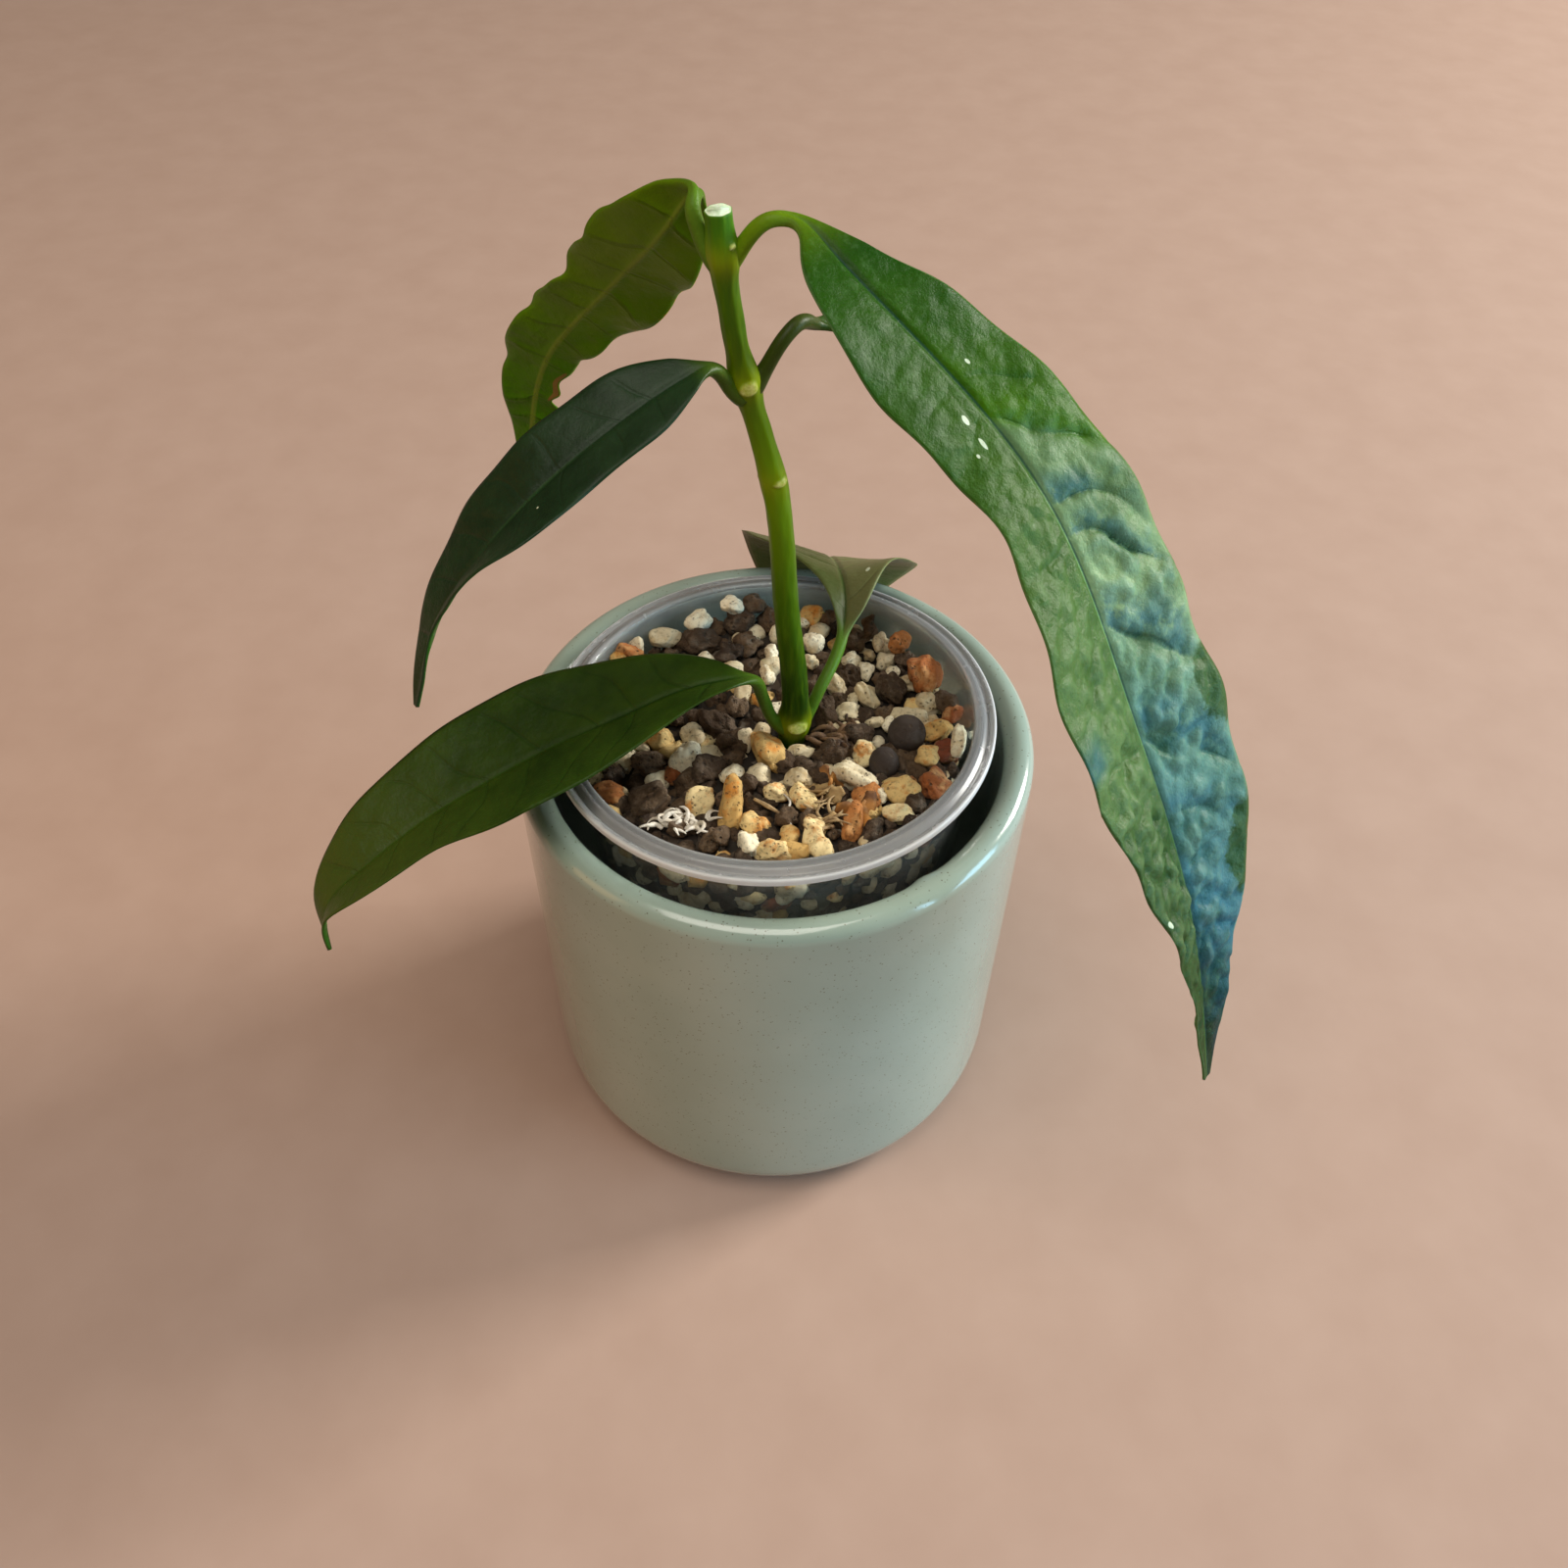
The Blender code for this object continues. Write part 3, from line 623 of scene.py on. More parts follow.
def ball(divisions):
    """A twenty-sided ball whose faces are split in four so many times, on the unit sphere."""
    g = (1 + math.sqrt(5)) / 2
    points = np.array([(-1, g, 0), (1, g, 0), (-1, -g, 0), (1, -g, 0), (0, -1, g), (0, 1, g),
                       (0, -1, -g), (0, 1, -g), (g, 0, -1), (g, 0, 1), (-g, 0, -1), (-g, 0, 1)])
    faces = np.array([(0, 11, 5), (0, 5, 1), (0, 1, 7), (0, 7, 10), (0, 10, 11), (1, 5, 9),
                      (5, 11, 4), (11, 10, 2), (10, 7, 6), (7, 1, 8), (3, 9, 4), (3, 4, 2),
                      (3, 2, 6), (3, 6, 8), (3, 8, 9), (4, 9, 5), (2, 4, 11), (6, 2, 10),
                      (8, 6, 7), (9, 8, 1)])
    points = points / np.linalg.norm(points, axis=1, keepdims=True)
    for _ in range(divisions):
        sides = np.sort(np.concatenate([faces[:, [0, 1]], faces[:, [1, 2]], faces[:, [2, 0]]]), 1)
        edges, number = np.unique(sides, axis=0, return_inverse=True)
        ab, bc, ca = number.reshape(3, -1) + len(points)
        middle = points[edges].sum(1)
        points = np.concatenate([points, middle / np.linalg.norm(middle, axis=1, keepdims=True)])
        a, b, c = faces.T
        faces = np.concatenate([np.stack(t, 1) for t in ((a, ab, ca), (b, bc, ab), (c, ca, bc),
                                                         (ab, bc, ca))])
    return points, faces


def random_turns(rng, count):
    """Random rotations, from random four-part unit numbers (quaternions)."""
    q = rng.normal(size=(count, 4))
    w, x, y, z = (q / np.linalg.norm(q, axis=1, keepdims=True)).T
    return np.stack([1 - 2 * (y * y + z * z), 2 * (x * y - z * w), 2 * (x * z + y * w),
                     2 * (x * y + z * w), 1 - 2 * (x * x + z * z), 2 * (y * z - x * w),
                     2 * (x * z - y * w), 2 * (y * z + x * w), 1 - 2 * (x * x + y * y)],
                    -1).reshape(-1, 3, 3)


# The planes that cut each stone, and its greatest tilt in radians
CUTS = 11
MOST_TILT = 0.45


def grains(places, sizes, turns, divisions, edge, lumps, cut, full, seed):
    """Stones at the places, with half sizes along their own axes, turned about the upright.

    Each coordinate, as a share of its half size, is raised to the power "full": under 1 that
    fills the ball out towards a box, and keeps a long stone's ends blunt. Each stone is tilted
    a little about its own first axis, as it would lie on others.
    """
    rng = np.random.default_rng(seed)
    count = len(places)
    ways, faces = ball(divisions)
    planes = rng.normal(size=(count, CUTS, 3))
    planes /= np.linalg.norm(planes, axis=2, keepdims=True)
    away = rng.uniform(cut, 1.0, (count, CUTS))
    facing = np.clip(np.einsum("vk,npk->nvp", ways, planes), 0, None)
    radius = np.sum((facing / away[:, None, :]) ** edge, -1) ** (-1 / edge)
    radius = np.clip(radius, 0.6, 1.15) if cut < 1 else np.ones(radius.shape)
    local = np.einsum("nij,vj->nvi", random_turns(rng, count), ways)
    each = np.arange(count)[:, None] * 7.0
    radius += lumps * waves(local[..., 0] * 3 + each, local[..., 1] * 3 + local[..., 2] * 4, 4.5,
                            seed)
    radius += lumps * 0.6 * waves(local[..., 0] * 9 + each, local[..., 1] * 9
                                  + local[..., 2] * 7, 6.0, seed + 1)
    shape = radius[..., None] * ways
    shape = shape / np.abs(shape).max(axis=1, keepdims=True)
    shape = np.sign(shape) * np.abs(shape) ** full * np.asarray(sizes)[:, None, :]
    tilt = rng.uniform(-MOST_TILT, MOST_TILT, (count, 1))
    shape = np.stack([shape[..., 0], np.cos(tilt) * shape[..., 1] - np.sin(tilt) * shape[..., 2],
                      np.sin(tilt) * shape[..., 1] + np.cos(tilt) * shape[..., 2]], -1)
    c, s = np.cos(turns)[:, None], np.sin(turns)[:, None]
    x = c * shape[..., 0] - s * shape[..., 1]
    y = s * shape[..., 0] + c * shape[..., 1]
    points = np.stack([x, y, shape[..., 2]], -1) + np.asarray(places)[:, None, :]
    offset = (np.arange(count) * len(ways))[:, None, None]
    tone = np.repeat(rng.random(count), len(ways))
    return points.reshape(-1, 3), [(faces[None] + offset).reshape(-1, 3)], tone


print("grain shapes ready")

# %% [markdown]
# The eye-catching grains are set one by one: kind, place, half width, half depth, lift above the
# bed and turn. Around them smaller stones are scattered by throwing darts: a dart counts only
# where it keeps clear of the grains before it.

# %% Grain places
# Each stone: x, y, half width, half depth (mm), then its lift (mm) and turn (degrees) where
# they aren't the usual ones
USUAL_LIE = (1.0, 0)
SET_GRAINS = {
    "pumice": ((-8.0, 26.1, 1.9, 1.8, 3.2), (-13.6, 23.5, 2.4, 2.2, 2.1),
        (-19.5, 19.8, 2.7, 1.8, 1.6), (-23.7, 16.2, 1.5, 1.6, 3.6), (-0.8, 16.9, 1.3, 1.8),
        (-1.5, 11.7, 1.3, 2.0), (-5.0, -1.8, 1.3, 2.3), (-21.5, -4.1, 1.4, 1.1, 1.0, 20),
        (6.1, 19.6, 1.9, 2.2), (5.9, 15.0, 1.5, 1.6), (17.7, 19.5, 1.2, 2.2),
        (15.8, 16.6, 1.0, 1.6), (18.5, 15.4, 1.8, 1.8, 1.0, 20), (12.8, 15.2, 1.7, 1.8),
        (15.2, 13.0, 1.3, 2.0), (19.7, 12.1, 1.3, 1.6), (22.6, 10.1, 2.1, 1.6),
        (9.9, 9.5, 1.2, 2.7, 1.0, 35), (15.4, 6.6, 1.4, 2.9, 1.2, 40), (12.8, 6.4, 1.0, 1.2),
        (12.0, 3.6, 2.0, 1.7), (25.7, 5.5, 2.4, 2.5, 1.2), (22.0, 2.8, 1.3, 3.1, 1.0, 65),
        (16.4, 1.5, 1.5, 1.1), (18.5, 0.9, 1.3, 1.5), (25.7, 1.9, 1.5, 0.8),
        (9.5, -0.5, 1.4, 1.7), (12.1, 0.5, 1.8, 1.3), (4.2, -4.9, 2.1, 1.5, 1.0, 15),
        (1.2, -4.9, 0.6, 0.9), (29.6, -4.0, 1.3, 2.8, 2.8, -15), (-14.4, -7.1, 2.5, 3.0, 1.2),
        (-3.9, -24.9, 1.8, 2.3), (4.2, -11.1, 2.5, 2.0), (12.2, -10.7, 4.4, 2.6, 1.2, -28),
        (16.6, -14.8, 1.2, 1.5)),
    "yellow": ((-26.5, 12.5, 1.5, 1.4, 4.0), (-18.4, -2.1, 2.2, 2.1, 1.0, 30),
        (6.1, 25.9, 2.2, 2.0), (25.2, 8.8, 1.2, 1.0), (26.3, -0.6, 2.6, 2.1),
        (14.7, -4.9, 1.9, 2.4), (-1.8, -4.6, 2.7, 4.5, 1.4, 25), (24.9, -6.0, 2.1, 2.4),
        (-11.4, -16.0, 2.2, 2.5), (-6.6, -17.7, 1.8, 5.0, 1.6, -5),
        (-2.5, -21.0, 2.6, 1.6, 1.0, -20), (0.1, -26.1, 2.8, 1.6),
        (5.0, -15.6, 2.2, 2.9, 1.0, 20), (15.4, -18.3, 1.2, 1.4), (20.0, -13.5, 2.9, 2.4),
        (19.8, -18.6, 2.7, 1.4, 1.0, -5), (0.4, -13.9, 1.9, 1.8), (6.4, -22.5, 1.7, 2.5)),
    "rust": ((-25.0, 14.2, 2.2, 1.8, 4.0, 10), (20.8, 18.1, 2.0, 2.6, 2.9),
        (25.0, 9.5, 3.3, 3.3, 3.6, -30), (29.1, 2.2, 1.9, 1.7, 2.1), (28.0, -4.7, 2.2, 2.2),
        (-26.0, -13.9, 2.8, 1.8, 1.0, -35), (14.6, -15.0, 2.2, 2.4),
        (12.6, -20.6, 1.7, 3.4, 1.0, -15), (25.6, -12.6, 2.6, 3.2, 1.0, -30)),
    "dark": ((-4.1, 26.8, 2.1, 1.8, 2.7), (-7.1, 24.3, 2.9, 2.2), (-13.1, 19.5, 3.1, 2.6),
        (-8.1, 17.1, 2.4, 2.0), (-4.8, 19.6, 2.7, 2.6), (-10.7, 1.8, 2.9, 3.1),
        (-6.3, 4.8, 2.0, 2.3), (-7.6, -2.6, 2.9, 2.1), (9.0, 25.2, 1.7, 2.0),
        (-1.1, 25.2, 2.1, 2.6), (15.9, 22.6, 1.4, 2.8, 2.3), (13.7, 20.3, 2.2, 2.4),
        (12.2, 11.7, 2.5, 2.0), (22.3, 15.4, 2.2, 1.8), (17.7, 10.8, 1.5, 1.6),
        (19.5, 7.7, 2.6, 2.6, 1.6), (8.1, 3.9, 2.0, 3.3), (13.7, -1.2, 3.2, 2.1),
        (8.8, -4.9, 3.2, 2.2), (-20.2, -8.0, 2.7, 2.4), (-18.7, -15.6, 3.9, 3.3),
        (-10.7, -9.1, 2.7, 2.6), (-9.1, -23.7, 2.4, 2.5), (15.3, -21.8, 1.7, 2.1),
        (1.7, -19.6, 2.1, 1.8), (10.6, -14.8, 1.2, 1.6), (-4.6, -12.2, 1.9, 2.2),
        (-14.9, -21.6, 1.8, 1.6), (28.2, 4.7, 2.0, 2.7, 2.0)),
    "ball": ((21.5, -1.2, 2.8, 2.8, 1.5), (17.6, -7.4, 2.2, 2.4)),
}
# A set stone's width, its height and a clay ball's height, as shares of its measures
SET_WIDTH, SET_HEIGHT, BALL_HEIGHT = 1.12, 0.95, 1.12
# The fill, coarse then fine: count, half sizes (mm), how far it sinks (mm), how near two stones
# may lie as a share of both half sizes together, seed
FILL = ((120, (1.8, 2.6), 0.9, 0.68, 11), (70, (1.1, 1.6), 1.1, 0.66, 12))
# Shares of pumice, yellow, rust and dark in the fill and behind the cup's wall
FILL_SHARES = (0.22, 0.10, 0.04, 0.64)
WALL_SHARES = (0.40, 0.10, 0.04, 0.46)
WALL_DEPTHS = np.linspace(0.5, 17.0, 9)
WALL_RING = 42
STEM_FOOT = np.array([2.6, -1.5])
STEM_CLEARANCE = 2.6


def ground(x, y):
    """The height of the leaning mix at a place, in millimetres."""
    drop = -CUP_LEAN[0] * (x - CUP_CENTRE[0] / MM) - CUP_LEAN[1] * (y - CUP_CENTRE[1] / MM)
    return mix_top(y * MM) / MM + drop


def scatter(count, reach, sizes, seed, taken, spacing):
    """Throws darts inside a circle and keeps those that stay clear of what is taken."""
    rng = np.random.default_rng(seed)
    kept = []
    for _ in range(count * 60):
        if len(kept) == count:
            break
        size = rng.uniform(*sizes)
        turn = rng.uniform(0, math.tau)
        far = (reach - size * 1.2) * math.sqrt(rng.random())
        spot = CUP_CENTRE / MM + far * np.array([math.cos(turn), math.sin(turn)])
        if np.linalg.norm(spot - STEM_FOOT) < STEM_CLEARANCE + size:
            continue
        if all(math.hypot(spot[0] - x, spot[1] - y) > spacing * (size + r)
               for x, y, r in taken + kept):
            kept.append((spot[0], spot[1], size))
    return kept


def gather_grains():
    """Places, half sizes, turns, kinds and splits of all the grains that show, in millimetres.

    The eye-catching ones are split three times, the fill twice, and those behind the cup's
    clear wall, of which there are hundreds, only once.
    """
    rng = np.random.default_rng(7)
    rows, taken = [], []
    for kind, (name, stones) in enumerate(SET_GRAINS.items()):
        for x, y, a, b, *own in stones:
            lift, turn = (*own, *USUAL_LIE[len(own):])
            tall = BALL_HEIGHT if name == "ball" else SET_HEIGHT
            rows.append((x, y, ground(x, y) + lift - 0.1, SET_WIDTH * a, SET_WIDTH * b,
                         tall * math.sqrt(a * b), math.radians(turn), kind, 3))
            taken.append((x, y, 0.9 * math.sqrt(a * b)))
    for count, sizes, drop, spacing, seed in FILL:
        for x, y, r in scatter(count, MIX_REACH / MM, sizes, seed, taken, spacing):
            high = ground(x, y) + 1.0 - drop + rng.uniform(-1.1, 0.6)
            rows.append((x, y, high, r * rng.uniform(0.9, 1.25), r * rng.uniform(0.8, 1.1),
                         r * rng.uniform(0.7, 0.95), rng.uniform(0, math.tau),
                         rng.choice(4, p=FILL_SHARES), 2))
            taken.append((x, y, r))
    for down in WALL_DEPTHS:
        reach = cup_radius(MIX_TOP - down * MM) / MM - 1.1
        turns = (np.arange(WALL_RING) + rng.random(WALL_RING) * 0.7 + down) / WALL_RING * math.tau
        for turn in turns:
            r = rng.uniform(1.3, 2.4)
            x, y = CUP_CENTRE / MM + (reach - r * 0.8) * np.array([math.cos(turn), math.sin(turn)])
            rows.append((x, y, ground(x, y) - down, r * 0.8, r * rng.uniform(0.9, 1.3), r, turn,
                         rng.choice(4, p=WALL_SHARES), 1))
    return np.array(rows)


all_grains = gather_grains()
print("grains:", len(all_grains))

# %% [markdown]
# Each kind of grain gets its own finish. Pumice is chalky, with fine pores. The stained grains
# run from straw to burnt orange over the same stone, rust is red lava with dark pores, the dark
# lumps are rough bark and lava, and the clay balls are smooth with a faint bloom of dust.

# %% Grain finishes


def stone_finish(name, shades, stain, stained, pore_depth, pore_shade, pores=1500.0, fibre=0.0):
    """Stone: a tone for each grain, a stain in patches, fibres, and pores so many a metre, with
    painted shade in the pores and the grit's hollows.
    """
    made, tree, shader = new_finish(name, Roughness=0.92)
    body = ramp(tree, attribute(tree, "tone"), *zip((0.0, 0.5, 1.0), shades))
    patches = step(tree, noise(tree, 330.0, 4.0, 0.65), 0.48, 0.66)
    body = blend(tree, times(tree, patches, stained), body, stain)
    grit = noise(tree, 1500.0, 5.0, 0.65)
    # Painted shade: the low spots of the fine grit, which the bump sinks, are darkened
    hollow_shade = blend(tree, 0.65, body, (0.03, 0.02, 0.01))
    body = blend(tree, times(tree, step(tree, grit, 0.50, 0.32), pore_shade), body, hollow_shade)
    fibres = times(tree, step(tree, noise(tree, 900.0, 6.0, 0.75), 0.54, 0.66), fibre)
    body = blend(tree, fibres, body, blend(tree, 0.6, body, (0.27, 0.18, 0.10)))
    holes = times(tree, step(tree, cells(tree, pores), 0.40, 0.18),
                  step(tree, noise(tree, 700.0, 2.0), 0.52, 0.64))
    # Painted shade: the pores, which the bump sinks, are darkened
    feed(shader, "Base Color", blend(tree, times(tree, holes, pore_shade), body, (0.07, 0.045, 0.02)))
    relief(tree, shader, maths(tree, "SUBTRACT", straight(tree, grit, 0.5, 0.5), holes),
           pore_depth, 0.9)
    return made


# In the order of SET_GRAINS, each kind's piece, its form (edge, lumps, cut and full) and its
# finish: name, three tones, a stain and its share, pore depth, painted shade in the pores and
# hollows, pores to a metre, fibre
STONES = (
    ("pumice_grains", (5.5, 0.090, 0.70, 0.93),
     ("pumice", ((0.50, 0.40, 0.24), (0.70, 0.60, 0.40), (0.86, 0.78, 0.58)),
      (0.46, 0.30, 0.11), 0.50, 0.0003, 0.60)),
    ("stained_grains", (5.0, 0.100, 0.70, 0.93),
     ("stained pumice", ((0.52, 0.32, 0.10), (0.72, 0.52, 0.22), (0.82, 0.68, 0.38)),
      (0.56, 0.20, 0.02), 0.85, 0.0003, 0.60)),
    ("rust_grains", (5.0, 0.110, 0.70, 0.92),
     ("rust lava", ((0.15, 0.030, 0.014), (0.36, 0.11, 0.025), (0.48, 0.19, 0.05)),
      (0.56, 0.33, 0.13), 0.55, 0.0006, 0.80, 1100.0)),
    ("dark_lumps", (4.0, 0.170, 0.72, 0.94),
     ("dark lumps", ((0.032, 0.016, 0.007), (0.070, 0.038, 0.017), (0.125, 0.074, 0.036)),
      (0.22, 0.16, 0.11), 0.55, 0.0016, 0.90, 1000.0, 0.45)),
    ("clay_balls", (2.0, 0.010, 1.0, 1.0),
     ("clay balls", ((0.022, 0.015, 0.013), (0.032, 0.022, 0.018), (0.050, 0.036, 0.029)),
      (0.11, 0.09, 0.08), 0.35, 0.0001, 0.50, 900.0)))
for kind, (name, form, finish) in enumerate(STONES):
    meshes = []
    for splits in (3, 2, 1):
        rows = all_grains[(all_grains[:, 7] == kind) & (all_grains[:, 8] == splits)]
        if len(rows):
            meshes.append(grains(rows[:, :3] * MM, rows[:, 3:6] * MM, rows[:, 6], splits, *form,
                                 20 + kind * 3 + splits))
    points, faces, tones = zip(*meshes)
    first = np.cumsum([0] + [len(p) for p in points])
    add_piece(name, np.concatenate(points),
              [np.concatenate([f[0] + start for f, start in zip(faces, first)])],
              stone_finish(*finish), "grain_mix", values={"tone": np.concatenate(tones)})

# %% [markdown]
# ## Curves and tubes
#
# Stem, petioles, midribs and dry wisps all follow a line through a few points. The line is a
# natural cubic spline, the curve that a thin bent lath takes. A tube is a ring of points carried
# along it, with a frame that doesn't twist.

# %% Splines and tubes


def smooth_path(points, count):
    """Even steps on a smooth curve through the points, and each point's share of its length."""
    points = np.array(points, float)
    reach = np.concatenate([[0], np.cumsum(np.linalg.norm(np.diff(points, axis=0), axis=1))])
    gap = np.diff(reach)
    size = len(points)
    rows = np.eye(size)
    right = np.zeros_like(points)
    for i in range(1, size - 1):
        rows[i, i - 1:i + 2] = gap[i - 1], 2 * (gap[i - 1] + gap[i]), gap[i]
        right[i] = 6 * ((points[i + 1] - points[i]) / gap[i]
                        - (points[i] - points[i - 1]) / gap[i - 1])
    bend = np.linalg.solve(rows, right)
    along = np.linspace(0, reach[-1], 40 * size)
    k = np.clip(np.searchsorted(reach, along) - 1, 0, size - 2)
    after = (reach[k + 1] - along)[:, None]
    before = (along - reach[k])[:, None]
    h = gap[k][:, None]
    fine = (bend[k] * after ** 3 + bend[k + 1] * before ** 3) / (6 * h)
    fine += (points[k] / h - bend[k] * h / 6) * after
    fine += (points[k + 1] / h - bend[k + 1] * h / 6) * before
    length = np.concatenate([[0], np.cumsum(np.linalg.norm(np.diff(fine, axis=0), axis=1))])
    even = np.linspace(0, length[-1], count)
    path = np.stack([np.interp(even, length, fine[:, axis]) for axis in range(3)], -1)
    return path, np.interp(reach, along, length) / length[-1]


def eased(values, share):
    """A smooth curve through values at even steps, read at the given shares of the way."""
    steps = len(values)
    path, _ = smooth_path([(10.0 * i, value, 0.0) for i, value in enumerate(values)], 30 * steps)
    return np.interp(share * 10.0 * (steps - 1), path[:, 0], path[:, 1])


def tube(path, radius, columns, shape=None):
    """Rings round a path. At each step the frame of the last ring is turned to the new way."""
    way = np.gradient(path, axis=0)
    way /= np.linalg.norm(way, axis=1, keepdims=True)
    side = np.zeros_like(path)
    start = np.cross((0, 1.0, 0), way[0])
    side[0] = start / np.linalg.norm(start)
    for i in range(1, len(path)):
        turned_side = side[i - 1] - way[i] * (side[i - 1] @ way[i])
        side[i] = turned_side / np.linalg.norm(turned_side)
    up = np.cross(way, side)
    angle = np.arange(columns) / columns * math.tau
    wide = np.repeat(np.asarray(radius)[:, None], columns, 1)
    if shape is not None:
        wide = shape(wide, path, angle, side, up)
    ring = path[:, None] + wide[..., None] * (np.cos(angle)[None, :, None] * side[:, None]
                                              + np.sin(angle)[None, :, None] * up[:, None])
    points = np.concatenate([ring.reshape(-1, 3), path[:1], path[-1:]])
    return points, ring_faces(len(path), columns)


print("curves ready")

# %% [markdown]
# ## Moss, roots and dry wisps
#
# A mix is never only stones. A pale tuft of dried moss lies near the front, with a thin white
# root, curled flakes of bark and husk and a few brown wisps, and dark bark fibres lie beside the
# stem. Hair curves would be the quick way. These are short tapered tubes, so that they are solid
# pieces like the rest.

# %% Small things that lie on the mix


# How far each sort is lifted above the mix besides its own rise, in millimetres
WISPS_LIE, LAID_LIES, FLAKES_LIE = 1.1, 1.4, 1.3
FLAKE_THINNESS = 0.2


def wisps(rng, centre, count, reach, thick, lift):
    """Tapered tubes that start near a centre and wander off, each along a bent line."""
    parts = []
    for i in range(count):
        turn = math.tau * (i + rng.uniform(-0.3, 0.3)) / count
        long = reach * rng.uniform(0.65, 1.1)
        start = np.array([*centre, 0]) + rng.normal(size=3) * (0.30 * reach, 0.22 * reach, 0.15)
        bend = rng.uniform(-1.8, 1.8)
        knots = [start + (long * s * math.cos(turn + bend * s), long * s * math.sin(turn + bend * s)
                          * 0.7, lift * math.sin(2.4 * s) + rng.uniform(-0.15, 0.15))
                 for s in (0, 0.35, 0.7, 1.0)]
        path, _ = smooth_path(knots, 9)
        path[:, 2] += ground(path[:, 0], path[:, 1]) + WISPS_LIE
        taper = thick * rng.uniform(0.7, 1.2) * (1 - 0.75 * np.linspace(0, 1, 9) ** 1.5)
        parts.append(tube(path, taper, 7))
    return parts


def laid(knots, radii):
    """One tube that lies on the mix through points of (x, y, lift)."""
    path, _ = smooth_path(knots, 24)
    path[:, 2] += ground(path[:, 0], path[:, 1]) + LAID_LIES
    share = np.linspace(0, 1, 24)
    return tube(path, np.interp(share, np.linspace(0, 1, len(radii)), radii), 8)


def flakes(rng, centre, count, reach, wide):
    """Curled flakes: tubes whose section is an ellipse a fifth as thick as it is wide.

    For the thinness t, that section's radius in polar form is r / sqrt(cos^2 + (sin / t)^2).
    """
    parts = []
    for _ in range(count):
        turn, tilt = rng.uniform(0, math.tau), rng.uniform(0, math.pi)
        long = reach * rng.uniform(0.6, 1.1)
        start = np.array([*centre, 0]) + rng.normal(size=3) * (0.9, 0.7, 0.2)
        knots = [start + (long * s * math.cos(turn + s), long * s * math.sin(turn + s),
                          1.3 * math.sin(2.6 * s)) for s in (-0.5, 0, 0.5)]
        path, _ = smooth_path(knots, 14)
        path[:, 2] += ground(path[:, 0], path[:, 1]) + FLAKES_LIE
        share = np.linspace(0, 1, 14)
        taper = wide * rng.uniform(0.7, 1.2) * np.sin(math.pi * (0.06 + 0.86 * share)) ** 0.6
        taper = taper * (1 + 0.25 * waves(share * 9, 0 * share, 3.0, int(rng.integers(99))))

        def section(wide, path, angle, side, up):
            thin = np.sqrt(np.cos(angle - tilt) ** 2
                           + (np.sin(angle - tilt) / FLAKE_THINNESS) ** 2)
            return wide / thin[None, :]

        parts.append(tube(path, taper, 16, section))
    return parts


def join(parts):
    """Many point and face arrays as one, each part's face numbers moved on past the last."""
    first = np.cumsum([0] + [len(p) for p, _ in parts])
    return (np.concatenate([p for p, _ in parts]) * MM,
            [np.concatenate([f[k] + start for (_, f), start in zip(parts, first)]) for k in (0, 1)])


def litter_finish(name, pale, dark, scale):
    made, tree, shader = new_finish(name, Roughness=0.85)
    feed(shader, "Base Color", ramp(tree, noise(tree, scale, 3.0), (0.35, dark), (0.60, pale)))
    relief(tree, shader, noise(tree, 3 * scale, 2.0), 0.0002, 0.8)
    return made


# Each piece: what is strewn, in the order of the draws (centre, count, measures), what is laid
# one by one (points, radii), and the finish (name, pale, dark, clouds to a metre)
LITTER = {
    "moss_tuft": (
        ((wisps, (-16.6, -20.8), 8, 3.0, 0.44, 1.1), (wisps, (-14.6, -21.6), 9, 3.2, 0.48, 1.3),
         (wisps, (-12.6, -21.0), 8, 3.0, 0.46, 1.1), (wisps, (-10.8, -20.4), 5, 2.4, 0.36, 0.8)),
        (), ("dried moss", (0.80, 0.75, 0.66), (0.48, 0.41, 0.31), 500.0)),
    "brown_wisps": (
        ((wisps, (7.6, -21.0), 9, 4.6, 0.34, 1.2), (wisps, (6.6, -17.0), 6, 3.2, 0.30, 1.0)),
        ((((-3.0, -16.0, 0.2), (-0.6, -18.0, 0.5), (1.7, -19.5, 0.1)), (0.25, 0.4, 0.15)),),
        ("dry wisps", (0.46, 0.33, 0.17), (0.16, 0.09, 0.04), 500.0)),
    "bark_flakes": (
        ((flakes, (13.4, -17.6), 3, 7.5, 2.3), (flakes, (8.6, -11.4), 2, 4.6, 1.6)),
        (), ("dry bark", (0.46, 0.20, 0.04), (0.13, 0.055, 0.02), 260.0)),
    "pale_flakes": (
        ((flakes, (6.6, -14.2), 4, 6.0, 1.6), (flakes, (7.6, -21.6), 2, 4.2, 1.2)),
        (), ("dry husk", (0.50, 0.34, 0.15), (0.22, 0.13, 0.05), 260.0)),
    "bark_fibres": (
        ((wisps, (9.4, -2.6), 15, 4.4, 0.62, 1.7), (wisps, (12.4, -0.6), 9, 3.2, 0.50, 1.5),
         (flakes, (10.0, -4.0), 3, 4.2, 1.6)),
        (), ("bark fibres", (0.150, 0.080, 0.035), (0.030, 0.014, 0.006), 420.0)),
    "white_root": (
        (), ((((1.6, -15.0, 0.2), (2.6, -17.4, 0.7), (2.0, -19.6, 0.5), (2.9, -21.4, 0.1)),
              (0.16, 0.20, 0.16, 0.08)),),
        ("root skin", (0.70, 0.66, 0.60), (0.55, 0.50, 0.42), 900.0)),
}
rng = np.random.default_rng(19)
for name, (strewn, by_hand, finish) in LITTER.items():
    strands = [strand for make, *measures in strewn for strand in make(rng, *measures)]
    strands += [laid(*tube_plan) for tube_plan in by_hand]
    add_piece(name, *join(strands), litter_finish(*finish), "grain_mix")

